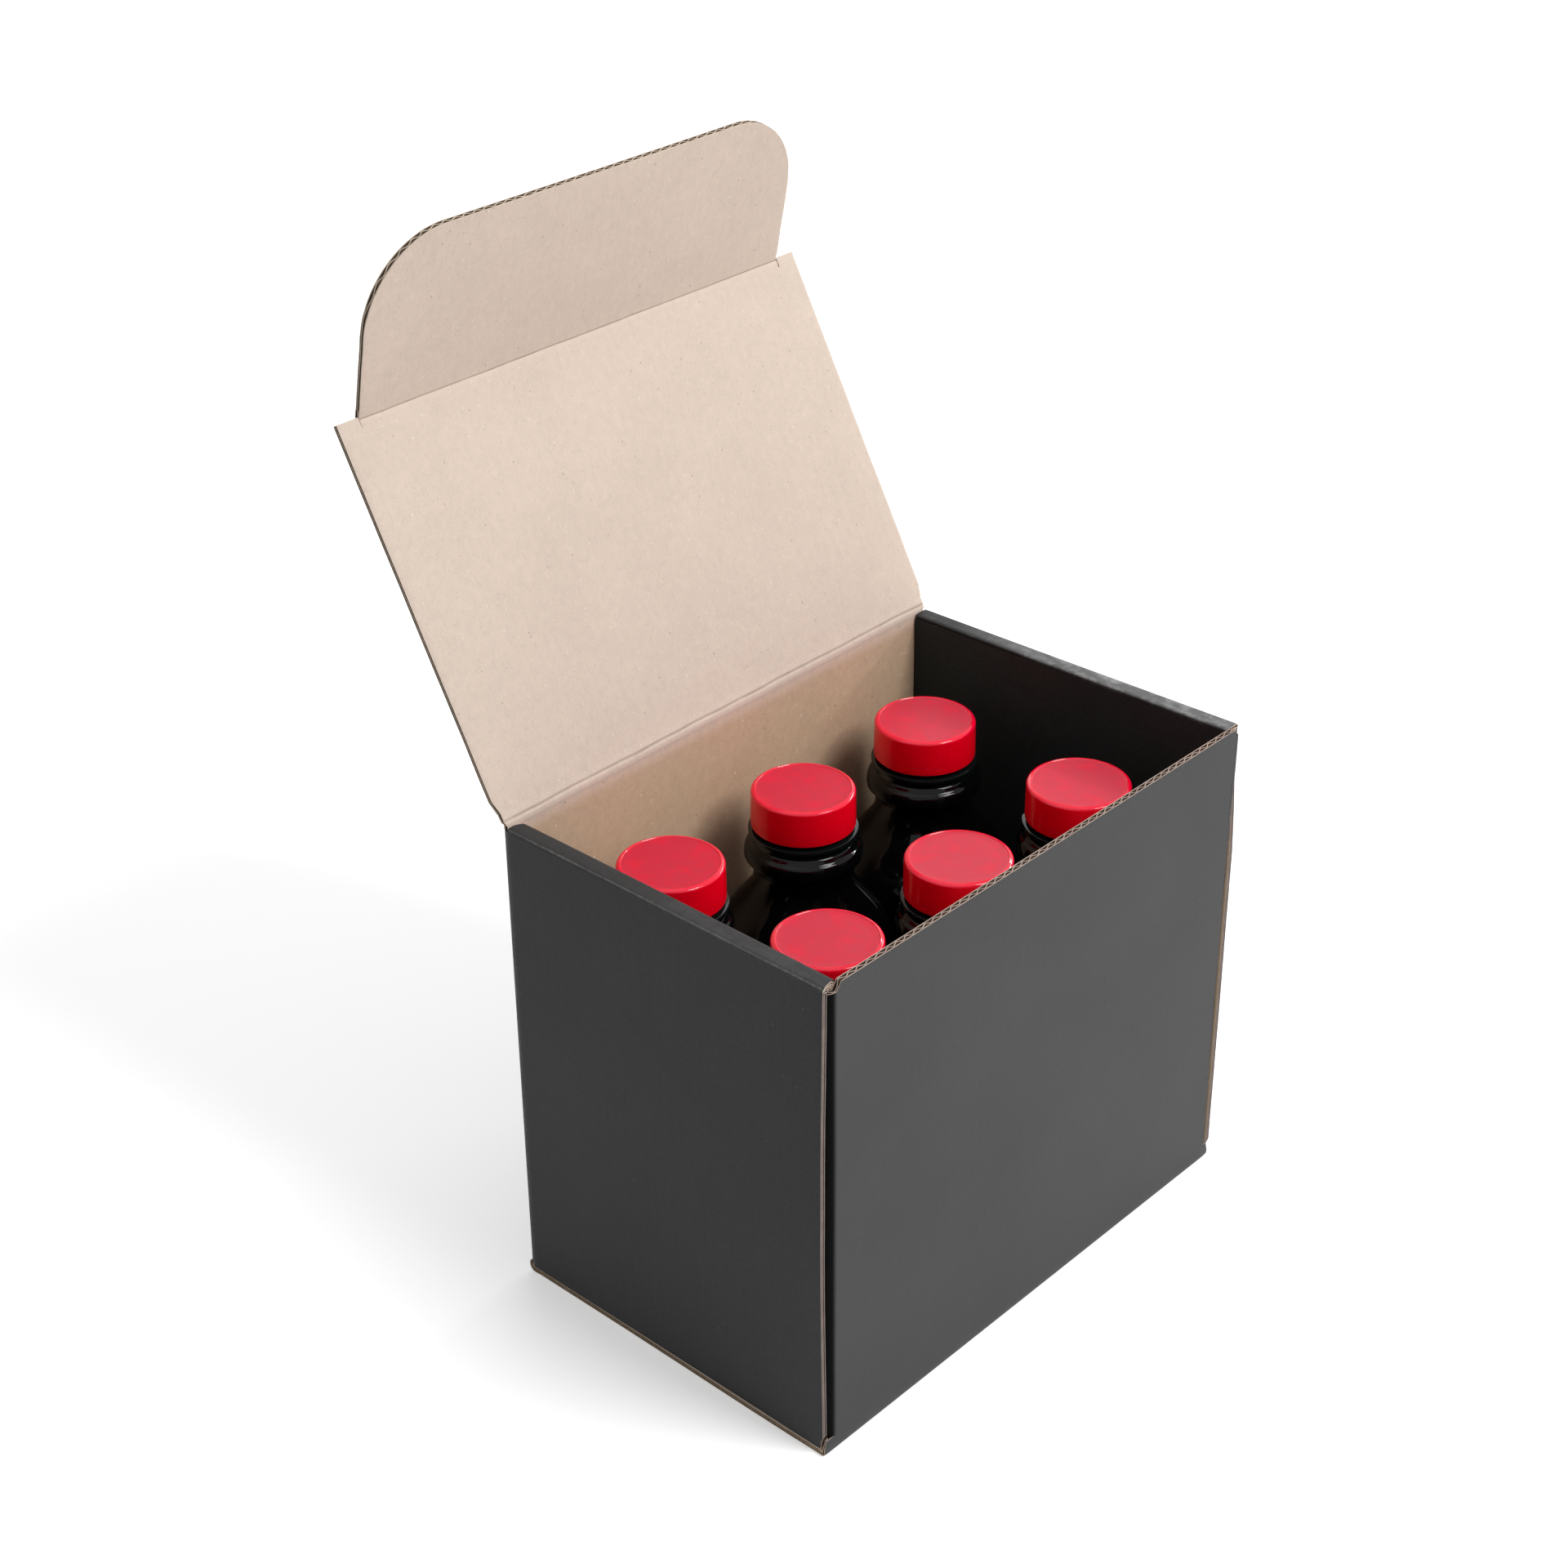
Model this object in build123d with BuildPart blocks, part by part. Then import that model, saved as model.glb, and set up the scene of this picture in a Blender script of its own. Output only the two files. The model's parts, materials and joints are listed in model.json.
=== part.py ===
"""Bottle shipping box, open, with six capped bottles. Millimetres, +Z up.

The origin is the middle of the underside. X runs along the front, -Y is the front, and the
lid hinges at the back. The carton, the lid and the tuck flap are one folded sheet of
corrugated board, whose flutes run up the front and back and along the bottom and the lid.
"""
import os
from math import cos, radians, sin

from build123d import *

# Corrugated board
board = 2.6  # thickness of the board
liner = 0.35  # thickness of each face sheet
flute_pitch = 5.0  # one full wave of the fluting
medium = 0.45  # height that the wavy sheet takes up at a crest
flute_wall = 0.36  # half the length of the wavy sheet's touch on a face sheet
flute_opening = 8.0  # depth of the open flutes at the rim of the front panel
groove_width = 0.5  # gap between a face sheet and the wavy sheet on an edge cut along the flutes
groove_depth = 0.7
layer_gap = 0.15  # air between layers of board that lie together
inner_bend = 0.3  # inner radius of a crease between panels
crest_bend = 1.3  # outer radius of the sharper creases on top of the sides

# Bottles, from the base upwards
bottle_diameter = 73.0
heel_radius = 6.0
base_recess = 3.0  # depth of the hollow under the base
base_recess_diameter = 46.0
body_height = 110.0  # straight body, up to the shoulder
shoulder_length = 37.0
shoulder_fullness = 20.0  # how far the shoulder goes on upwards before it turns in
waist_diameter = 39.8
waist_length = 1.0
bulge_rise = 9.7  # from the waist up to the widest place of the bulge
bulge_diameter = 47.0
bulge_crown = 5.7  # from the widest place of the bulge up to the neck
neck_length = 2.7
neck_diameter = 40.6
support_ring_diameter = 43.4
support_ring_thickness = 1.8
cap_foot_gap = 1.6  # between the support ring and the cap
finish_diameter = 36.0  # the threaded mouth, inside the cap

# Caps
cap_diameter = 41.4
cap_height = 15.3
cap_wall = 2.4
cap_top = 1.8
cap_shoulder = 2.2  # radius round the top edge
cap_recess = 0.5  # depth of the flat disc inside the rim
cap_rim_width = 0.8
cap_rim_inset = 1.9  # from the side of the cap to the rim
band_height = 3.4  # tamper band at the bottom of the cap
band_groove = 0.3
cap_seat_gap = 0.2

# Room around the bottles
columns = 3
rows = 2
column_gap = 1.0
row_gap = 4.7
side_room = 2.4
end_room = 2.05
headroom = 19.6

# Heights in a bottle, above its base
shoulder_top = body_height + shoulder_length
waist_top = shoulder_top + waist_length
bulge_middle = waist_top + bulge_rise
bulge_top = bulge_middle + bulge_crown
ring_low = bulge_top + neck_length
ring_high = ring_low + support_ring_thickness
cap_foot = ring_high + cap_foot_gap
bottle_height = cap_foot + cap_height
mouth_height = bottle_height - cap_top - cap_seat_gap

# Outside sizes of the carton
side_build = 3 * board + 2 * layer_gap  # outer side, corner flap and inner side together
inside_width = columns * bottle_diameter + (columns - 1) * column_gap + 2 * side_room
inside_depth = rows * bottle_diameter + (rows - 1) * row_gap + 2 * end_room
box_width = inside_width + 2 * side_build
box_depth = inside_depth + 2 * board
box_height = board + bottle_height + headroom

# Bottom, corner flaps and locks
ledge = 1.2  # how far the bottom panel stands out past each side
corner_flap_length = 62.0
corner_flap_foot = 8.5  # height where the front's side creases start
flare_foot = 2.9  # height where the front's lower corners reach full width
back_crease_foot = 4.5  # height where the back's side creases start
front_corner_cut = 2.0  # cut at the ends of the front panel's rim
toe_cut_depth = 4.0  # slanted cut at the lower front corner of each side
toe_cut_height = 8.5
strip_end_radius = 5.0  # round back end of each roll-over strip
tab_length = 38.0
tab_offset = 38.0  # from the middle of the side to the middle of each tab
tab_clearance = 0.25
tab_recess = 0.4  # how far a tab stays above the underside

# Lid and tuck flap
lid_clearance = 0.3  # between the closed lid and the rim
lid_overhang = 0.4  # lid past each side
lid_lean = 28.7  # degrees that the open lid leans back from upright
hinge_inset = 0.9  # lid crease in from the outer face of the back
flap_clearance = 0.35  # between the tucked flap and the front panel
flap_length = 69.0
flap_corner_radius = 36.0
flap_fold = 40.2  # degrees that the flap is folded from the plane of the lid
flap_side_clearance = 1.6  # between the tucked flap and each inner side
shoulder_reach = 0.5  # lid corners past the flap's crease
knuckle_clearance = 0.3

# Places worked out from the sizes above
half_width = box_width / 2
half_depth = box_depth / 2
half_floor = half_width + ledge
outer_bend = board + inner_bend
front_half = half_width - board - layer_gap  # outer face of a corner flap
inner_side = inside_width / 2  # inner face of an inner side panel
side_foot = board + layer_gap
layer_front = -half_depth + board + layer_gap
layer_back = half_depth - board - layer_gap
under_strip = box_height - board - layer_gap
hinge_y = half_depth - hinge_inset
hinge_z = box_height + lid_clearance + board / 2
flap_crease_y = -half_depth + board + flap_clearance + board / 2
lid_length = hinge_y - flap_crease_y
lid_half = half_width + lid_overhang
flap_half = inside_width / 2 - flap_side_clearance


def flute_gaps(length):
    """Draws the gaps of the fluting along the sketch's X axis, which runs along the middle of the board."""
    face = board / 2 - liner
    half_base = flute_pitch / 2 - flute_wall
    count = int(length / (flute_pitch / 2)) - 1
    for index in range(count):
        middle = (index - (count - 1) / 2) * flute_pitch / 2
        side = 1 if index % 2 else -1
        Polygon(
            (middle - half_base, side * face),
            (middle + half_base, side * face),
            (middle, side * (medium - face)),
            align=None,
        )


def edge_grooves(length):
    """Draws the two grooves of an edge that is cut along the flutes, which is the sketch's X axis."""
    offset = board / 2 - liner - groove_width / 2
    with Locations((0, -offset), (0, offset)):
        Rectangle(length, groove_width)


# Carton
with BuildPart() as carton:
    # Front, bottom and back as one bent strip of board
    with BuildSketch(Plane.YZ.offset(-half_floor)):
        with BuildLine():
            outer = FilletPolyline(
                (-half_depth, box_height), (-half_depth, 0), (half_depth, 0), (half_depth, box_height),
                radius=outer_bend,
            )
            inner = FilletPolyline(
                (-half_depth + board, box_height), (-half_depth + board, board),
                (half_depth - board, board), (half_depth - board, box_height),
                radius=inner_bend,
            )
            Line(outer @ 0, inner @ 0)
            Line(outer @ 1, inner @ 1)
        make_face()
    extrude(amount=2 * half_floor)

    # The front narrows above its flared feet, where the side creases start
    with BuildSketch(Plane.XZ.offset(half_depth - board)):
        with BuildLine():
            Polyline(
                (front_half - outer_bend - front_corner_cut, box_height),
                (front_half - outer_bend, box_height - front_corner_cut),
                (front_half - outer_bend, corner_flap_foot),
                (front_half, corner_flap_foot),
                (half_floor, flare_foot),
                (half_floor + board, flare_foot),
                (half_floor + board, box_height),
                close=True,
            )
        make_face()
        mirror(about=Plane.YZ)
    extrude(amount=board, mode=Mode.SUBTRACT)

    # The back narrows above its lower crease
    with BuildSketch(Plane.XZ.offset(-half_depth)):
        with Locations((half_floor, box_height), (-half_floor, box_height)):
            Rectangle(
                2 * (half_floor - half_width + outer_bend),
                2 * (box_height - back_crease_foot),
            )
    extrude(amount=board, mode=Mode.SUBTRACT)

    # Corner flaps, creased from the front panel and lying inside the sides
    with BuildSketch(Plane.XY.offset(corner_flap_foot)):
        with BuildLine():
            outer = FilletPolyline(
                (-front_half, corner_flap_length - half_depth), (-front_half, -half_depth),
                (front_half, -half_depth), (front_half, corner_flap_length - half_depth),
                radius=outer_bend,
            )
            inner = FilletPolyline(
                (board - front_half, corner_flap_length - half_depth),
                (board - front_half, board - half_depth),
                (front_half - board, board - half_depth),
                (front_half - board, corner_flap_length - half_depth),
                radius=inner_bend,
            )
            Line(outer @ 0, inner @ 0)
            Line(outer @ 1, inner @ 1)
        make_face()
    extrude(amount=under_strip - corner_flap_foot)

    # Outer sides, creased from the back panel above its lower corners
    with BuildSketch(Plane.XY.offset(side_foot)):
        with Locations(
            (half_width - board / 2, -outer_bend / 2),
            (board / 2 - half_width, -outer_bend / 2),
        ):
            Rectangle(board, box_depth - outer_bend)
    extrude(amount=box_height - side_foot)
    with BuildSketch(Plane.XY.offset(back_crease_foot)):
        with BuildLine():
            outer = FilletPolyline(
                (half_width, 0), (half_width, half_depth), (half_width - 2 * outer_bend, half_depth),
                radius=outer_bend,
            )
            inner = FilletPolyline(
                (half_width - board, 0),
                (half_width - board, half_depth - board),
                (half_width - 2 * outer_bend, half_depth - board),
                radius=inner_bend,
            )
            Line(outer @ 0, inner @ 0)
            Line(outer @ 1, inner @ 1)
        make_face()
        mirror(about=Plane.YZ)
    extrude(amount=box_height - back_crease_foot)

    # Roll-over strips and inner sides
    with BuildSketch(Plane.XZ.offset(-layer_back)):
        with BuildLine():
            Polyline(
                (inner_side, side_foot),
                (inner_side, box_height),
                (half_width, box_height),
                (half_width, box_height - board),
                (inner_side + board, box_height - board),
                (inner_side + board, side_foot),
                close=True,
            )
        make_face()
        mirror(about=Plane.YZ)
    extrude(amount=layer_back - layer_front)

    # Front ends of the strips, cut on a slant from the front edge of the sides
    slant_foot = front_half - outer_bend
    with BuildSketch(Plane.XY.offset(box_height - board)):
        with BuildLine():
            Polyline(
                (half_width, -half_depth),
                (half_width, layer_front),
                (slant_foot, layer_front),
                close=True,
            )
        make_face()
        mirror(about=Plane.YZ)
    extrude(amount=board)
    with BuildSketch(Plane.XY.offset(box_height - board)):
        with BuildLine():
            Polyline(
                (half_width, -half_depth),
                (slant_foot, layer_front),
                (slant_foot, -half_depth),
                close=True,
            )
        make_face()
        mirror(about=Plane.YZ)
    extrude(amount=board, mode=Mode.SUBTRACT)

    # Round back ends of the strips
    with BuildSketch(Plane.XY.offset(box_height - board)):
        with BuildLine():
            Line((inner_side, layer_back - strip_end_radius), (inner_side, layer_back))
            Line((inner_side, layer_back), (inner_side + strip_end_radius, layer_back))
            RadiusArc(
                (inner_side + strip_end_radius, layer_back),
                (inner_side, layer_back - strip_end_radius),
                -strip_end_radius,
            )
        make_face()
        mirror(about=Plane.YZ)
    extrude(amount=board, mode=Mode.SUBTRACT)

    # Rounded creases along both edges of each strip
    with BuildSketch(Plane.XZ.offset(-half_depth)):
        for crease, inward in ((half_width, -1), (inner_side, 1)):
            with BuildLine():
                Line((crease, box_height - crest_bend), (crease, box_height))
                Line((crease, box_height), (crease + inward * crest_bend, box_height))
                RadiusArc(
                    (crease + inward * crest_bend, box_height),
                    (crease, box_height - crest_bend),
                    -inward * crest_bend,
                )
            make_face()
        mirror(about=Plane.YZ)
    extrude(amount=box_depth, mode=Mode.SUBTRACT)

    # Slanted toes at the lower front corners of the sides
    for side in (-1, 1):
        with BuildSketch(Plane.YZ.offset(side * (half_width - board / 2))):
            with BuildLine():
                Polyline(
                    (-half_depth, side_foot),
                    (toe_cut_depth - half_depth, side_foot),
                    (-half_depth, side_foot + toe_cut_height),
                    close=True,
                )
            make_face()
        extrude(amount=(board + layer_gap) / 2, both=True, mode=Mode.SUBTRACT)

    # Slots in the bottom and the tabs of the inner sides that lock in them
    tab_places = [
        (side * (inner_side + board / 2), place * tab_offset)
        for side in (-1, 1)
        for place in (-1, 1)
    ]
    with BuildSketch():
        with Locations(*tab_places):
            Rectangle(board + 2 * tab_clearance, tab_length + 2 * tab_clearance)
    extrude(amount=board, mode=Mode.SUBTRACT)
    with BuildSketch(Plane.XY.offset(tab_recess)):
        with Locations(*tab_places):
            Rectangle(board, tab_length)
    extrude(amount=side_foot - tab_recess)

    # Open flutes along the rim of the front panel
    with BuildSketch(Plane((0, board / 2 - half_depth, box_height))):
        flute_gaps(2 * (front_half - outer_bend - front_corner_cut))
    extrude(amount=-flute_opening, mode=Mode.SUBTRACT)

    # Grooves in the edges cut along the flutes: sides of the bottom, fronts of the sides
    groove_foot = side_foot + toe_cut_height + board
    groove_top = box_height - 2 * board
    for side in (-1, 1):
        floor_edge = Plane((side * half_floor, 0, board / 2), x_dir=(0, 1, 0), z_dir=(side, 0, 0))
        with BuildSketch(floor_edge):
            edge_grooves(box_depth - 2 * outer_bend)
        extrude(amount=-groove_depth, mode=Mode.SUBTRACT)
        side_edge = Plane(
            (side * (half_width - board / 2), -half_depth, (groove_foot + groove_top) / 2),
            x_dir=(0, 0, 1),
            z_dir=(0, -1, 0),
        )
        with BuildSketch(side_edge):
            edge_grooves(groove_top - groove_foot)
        extrude(amount=-groove_depth, mode=Mode.SUBTRACT)

carton.part.label = "carton"

# Lid, on its own plane: Y runs from the hinge to the flap, Z is the kraft inner face
lid_plane = Plane(
    origin=(0, hinge_y, hinge_z),
    x_dir=(1, 0, 0),
    z_dir=(0, -cos(radians(lid_lean)), sin(radians(lid_lean))),
)
lid_notch = flap_half + knuckle_clearance
hinge_end = Plane(
    lid_plane.from_local_coords((-lid_half, 0, 0)),
    x_dir=lid_plane.y_dir,
    z_dir=lid_plane.x_dir,
)
with BuildPart() as lid:
    # The panel, notched at its end for the rounded root of the flap
    with BuildSketch(lid_plane):
        with Locations((0, (lid_length + shoulder_reach) / 2)):
            Rectangle(2 * lid_half, lid_length + shoulder_reach)
        with Locations((0, lid_length)):
            Rectangle(2 * lid_notch, board + 2 * knuckle_clearance, mode=Mode.SUBTRACT)
    extrude(amount=board / 2, both=True)

    # Rounded root along the hinge crease
    with BuildSketch(hinge_end):
        Circle(board / 2)
    extrude(amount=2 * lid_half)

    # Open flutes at the two end corners, beside the flap
    for side in (-1, 1):
        corner_middle = side * (lid_notch + lid_half) / 2
        lid_corner = Plane(
            lid_plane.from_local_coords((corner_middle, lid_length + shoulder_reach, 0)),
            x_dir=(1, 0, 0),
            z_dir=lid_plane.y_dir,
        )
        with BuildSketch(lid_corner):
            flute_gaps(lid_half - lid_notch)
        extrude(amount=-flute_opening, mode=Mode.SUBTRACT)

    # Grooves in the side edges, which are cut along the flutes
    for side in (-1, 1):
        lid_edge = Plane(
            lid_plane.from_local_coords((side * lid_half, lid_length / 2, 0)),
            x_dir=lid_plane.y_dir,
            z_dir=lid_plane.x_dir * side,
        )
        with BuildSketch(lid_edge):
            edge_grooves(lid_length - 2 * flute_opening)
        extrude(amount=-groove_depth, mode=Mode.SUBTRACT)

lid.part.label = "lid"

# Tuck flap, folded forward from the end of the lid
flap_lean = lid_lean - flap_fold
flap_plane = Plane(
    origin=lid_plane.from_local_coords((0, lid_length, 0)),
    x_dir=(1, 0, 0),
    z_dir=(0, -cos(radians(flap_lean)), sin(radians(flap_lean))),
)
flap_root_end = Plane(
    flap_plane.from_local_coords((-flap_half, 0, 0)),
    x_dir=flap_plane.y_dir,
    z_dir=flap_plane.x_dir,
)
flap_tip = Plane(
    flap_plane.from_local_coords((0, flap_length, 0)),
    x_dir=(1, 0, 0),
    z_dir=flap_plane.y_dir,
)
with BuildPart() as tuck_flap:
    # The panel, with its two large round corners
    with BuildSketch(flap_plane):
        with Locations((0, flap_length / 2)):
            flap_outline = Rectangle(2 * flap_half, flap_length)
        fillet(flap_outline.vertices().group_by(Axis.Y)[-1], flap_corner_radius)
    extrude(amount=board / 2, both=True)

    # Rounded root along the crease
    with BuildSketch(flap_root_end):
        Circle(board / 2)
    extrude(amount=2 * flap_half)

    # Open flutes along the end and round the corners
    with BuildSketch(flap_tip):
        flute_gaps(2 * (flap_half - medium))
    extrude(amount=-flap_corner_radius, mode=Mode.SUBTRACT)

tuck_flap.part.label = "tuck_flap"

# Bottles and caps
column_pitch = bottle_diameter + column_gap
row_pitch = bottle_diameter + row_gap
bottle_places = [
    ((column - (columns - 1) / 2) * column_pitch, (row - (rows - 1) / 2) * row_pitch)
    for row in range(rows)
    for column in range(columns)
]

os.makedirs("parts", exist_ok=True)
export_step(carton.part, "parts/carton.step")
export_step(lid.part, "parts/lid.step")
export_step(tuck_flap.part, "parts/tuck_flap.step")

body_radius = bottle_diameter / 2
waist_radius = waist_diameter / 2
bulge_radius = bulge_diameter / 2
neck_radius = neck_diameter / 2
ring_radius = support_ring_diameter / 2
finish_radius = finish_diameter / 2
recess_radius = base_recess_diameter / 2
cap_radius = cap_diameter / 2
cap_bore = cap_radius - cap_wall
rim_outer = cap_radius - cap_rim_inset
rim_inner = rim_outer - cap_rim_width

for number, (place_x, place_y) in enumerate(bottle_places, start=1):
    upright = Plane((place_x, place_y, board), x_dir=(1, 0, 0), z_dir=(0, -1, 0))
    axis = Axis((place_x, place_y, board), (0, 0, 1))

    with BuildPart() as bottle:
        with BuildSketch(upright):
            with BuildLine():
                TangentArc((0, base_recess), (recess_radius, 0), tangent=(1, 0))
                Line((recess_radius, 0), (body_radius - heel_radius, 0))
                RadiusArc((body_radius - heel_radius, 0), (body_radius, heel_radius), -heel_radius)
                Line((body_radius, heel_radius), (body_radius, body_height))
                Bezier(
                    (body_radius, body_height),
                    (body_radius, body_height + shoulder_fullness),
                    (waist_radius, shoulder_top - shoulder_fullness / 2),
                    (waist_radius, shoulder_top),
                )
                Line((waist_radius, shoulder_top), (waist_radius, waist_top))
                Spline(
                    (waist_radius, waist_top),
                    (bulge_radius, bulge_middle),
                    tangents=[(0, 1), (0, 1)],
                )
                Spline(
                    (bulge_radius, bulge_middle),
                    (neck_radius, bulge_top),
                    tangents=[(0, 1), (-1, 0)],
                )
                Polyline(
                    (neck_radius, bulge_top),
                    (neck_radius, ring_low),
                    (ring_radius, ring_low),
                    (ring_radius, ring_high),
                    (finish_radius, ring_high),
                    (finish_radius, mouth_height),
                    (0, mouth_height),
                    (0, base_recess),
                )
            make_face()
        revolve(axis=axis)
    bottle.part.label = f"bottle_{number}"
    export_step(bottle.part, f"parts/bottle_{number}.step")

    with BuildPart() as cap:
        with BuildSketch(upright):
            with BuildLine():
                Polyline(
                    (0, bottle_height - cap_recess),
                    (rim_inner - cap_recess, bottle_height - cap_recess),
                    (rim_inner, bottle_height),
                    (rim_outer, bottle_height),
                )
                RadiusArc(
                    (rim_outer, bottle_height), (cap_radius, bottle_height - cap_shoulder), cap_shoulder
                )
                Polyline(
                    (cap_radius, bottle_height - cap_shoulder),
                    (cap_radius, cap_foot + band_height + band_groove),
                    (cap_radius - band_groove, cap_foot + band_height),
                    (cap_radius, cap_foot + band_height - band_groove),
                    (cap_radius, cap_foot),
                    (cap_bore, cap_foot),
                    (cap_bore, bottle_height - cap_top),
                    (0, bottle_height - cap_top),
                    (0, bottle_height - cap_recess),
                )
            make_face()
        revolve(axis=axis)
    cap.part.label = f"cap_{number}"
    export_step(cap.part, f"parts/cap_{number}.step")
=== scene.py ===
"""Open shipping box of corrugated board with six capped bottles, dressed for rendering.

Each panel of the box is built as real board: a printed face sheet, a wavy sheet and a bare
kraft face sheet, folded along the same lines as the solids. Lengths are in metres.
"""

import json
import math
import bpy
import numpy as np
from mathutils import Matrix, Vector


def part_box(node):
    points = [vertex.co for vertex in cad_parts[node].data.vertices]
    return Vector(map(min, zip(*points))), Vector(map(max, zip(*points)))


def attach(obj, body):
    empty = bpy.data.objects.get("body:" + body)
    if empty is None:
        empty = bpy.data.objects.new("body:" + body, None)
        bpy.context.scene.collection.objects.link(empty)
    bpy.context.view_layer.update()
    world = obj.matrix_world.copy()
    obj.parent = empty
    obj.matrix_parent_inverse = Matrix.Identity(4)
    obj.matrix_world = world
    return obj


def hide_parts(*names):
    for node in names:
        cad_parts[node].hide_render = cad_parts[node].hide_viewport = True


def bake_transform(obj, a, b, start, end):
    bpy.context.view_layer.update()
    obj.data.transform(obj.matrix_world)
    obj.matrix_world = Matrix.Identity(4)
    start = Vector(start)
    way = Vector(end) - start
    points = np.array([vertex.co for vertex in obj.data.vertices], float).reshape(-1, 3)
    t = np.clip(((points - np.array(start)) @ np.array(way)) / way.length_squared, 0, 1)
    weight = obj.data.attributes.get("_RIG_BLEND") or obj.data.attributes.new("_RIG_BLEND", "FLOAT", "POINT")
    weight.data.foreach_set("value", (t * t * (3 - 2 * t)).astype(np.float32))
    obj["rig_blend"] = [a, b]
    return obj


bl_info = {
    "name": "Bottle shipping box",
    "version": (1, 0, 0),
    "blender": (4, 5, 0),
    "location": "View3D > Sidebar > Shipping box",
    "description": "Builds the board, bottles, caps and studio of a bottle shipping box",
    "category": "Add Mesh",
}

from itertools import accumulate

import bmesh
import bpy
import numpy as np
from bpy.props import FloatProperty, FloatVectorProperty, IntProperty, PointerProperty
from mathutils import Matrix, Vector

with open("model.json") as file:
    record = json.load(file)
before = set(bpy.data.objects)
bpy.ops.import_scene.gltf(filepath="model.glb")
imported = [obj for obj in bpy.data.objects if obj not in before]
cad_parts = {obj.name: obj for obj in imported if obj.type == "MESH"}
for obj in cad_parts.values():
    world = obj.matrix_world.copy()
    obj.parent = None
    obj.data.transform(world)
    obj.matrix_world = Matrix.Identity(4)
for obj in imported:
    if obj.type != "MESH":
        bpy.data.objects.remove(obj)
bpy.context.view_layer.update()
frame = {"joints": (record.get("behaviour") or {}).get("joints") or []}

MM = 0.001
CARTON_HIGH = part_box("carton")[1]
JOINTS = {joint["name"]: joint for joint in frame["joints"]}
HINGE = Vector(JOINTS["lid_hinge"]["pos_m"])
FLAP_CREASE = Vector(JOINTS["tuck_flap_fold"]["pos_m"])
# Order of a board's four finishes
PRINT, KRAFT, WAVY, EDGE = range(4)


# Sizes and colours that a user would change


def length(name, default, description):
    settings = {"min": 0.0, "subtype": "DISTANCE", "unit": "LENGTH", "precision": 5}
    return FloatProperty(name=name, description=description, default=default * MM, **settings)


def angle(name, default, description):
    return FloatProperty(
        name=name, description=description, default=math.radians(default), subtype="ANGLE", unit="ROTATION"
    )


def power(name, default, description):
    return FloatProperty(name=name, description=description, default=default, min=0.0, unit="POWER")


def colour(name, default, description):
    return FloatVectorProperty(
        name=name, description=description, default=default, size=3, min=0.0, max=1.0, subtype="COLOR"
    )


class BoardSizes(bpy.types.PropertyGroup):
    thickness: length("Board", 2.6, "Thickness of the corrugated board")
    liner: length("Face sheet", 0.42, "Thickness of each flat face sheet")
    medium: length("Wavy sheet", 0.46, "Thickness of the wavy sheet")
    pitch: length("Flute pitch", 5.0, "One full wave of the fluting")
    gap: length("Layer gap", 0.15, "Air between boards that lie together")
    fold: length("Fold radius", 1.6, "Radius of a fold at the middle of the board")
    crest: length("Crest radius", 0.25, "Radius of the folds on top of the sides")
    front_half: length("Front half width", 121.0, "Half the width of the front panel, over its folds")
    left_roll: length("Left roll", 5.0, "Radius of the front panel's swollen left fold")
    flare: length("Flare", 2.9, "How far the sides swing out at their free front edges")
    ledge: length("Ledge", 1.2, "How far the bottom stands out past each side")
    corner_flap: length("Corner flap", 62.0, "Length of the corner flaps inside the sides")
    front_crease_foot: length("Front crease foot", 7.0, "Height where the front's side creases start")
    flare_foot: length("Flare foot", 2.9, "Height where the front's lower corners reach full width")
    back_crease_foot: length("Back crease foot", 4.5, "Height where the back's side creases start")
    front_corner_cut: length("Front corner cut", 3.2, "Cut at the ends of the front rim")
    toe_depth: length("Toe depth", 2.2, "Depth of the cut at the lower front corner of each side")
    toe_height: length("Toe height", 5.6, "Height of that cut")
    strip_end: length("Left strip end", 5.0, "Round back end of the left strip")
    right_strip_end: length("Right strip end", 0.8, "Round back end of the right strip")
    tab_length: length("Tab length", 38.0, "Length of each locking tab")
    tab_offset: length("Tab offset", 38.0, "From the middle of a side to the middle of a tab")
    tab_recess: length("Tab recess", 0.4, "How far a tab stays above the underside")
    bow: length("Bow", 0.35, "How far the large panels bow out of flat")


class LidSizes(bpy.types.PropertyGroup):
    lean: angle("Lean", 28.7, "How far the open lid leans back from upright")
    fold: angle("Flap fold", 40.2, "How far the flap is folded from the plane of the lid")
    half_width: length("Half width", 121.4, "Half the width of the lid")
    foot_cut: length("Foot cut", 1.7, "How much narrower each side of the lid is at the hinge")
    foot_reach: length("Foot reach", 9.0, "Length over which the lid grows to its full width")
    shoulder_reach: length("Shoulder reach", 0.5, "How far the lid's corners pass the flap's crease")
    flap_half: length("Flap half width", 111.3, "Half the width of the tuck flap")
    flap_length: length("Flap length", 69.0, "From the crease to the end of the tuck flap")
    flap_corner: length("Flap corner", 36.0, "Radius of the flap's corners")
    crease_reach: length("Crease reach", 3.4, "How far the crushed board reaches either side of a crease")


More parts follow.
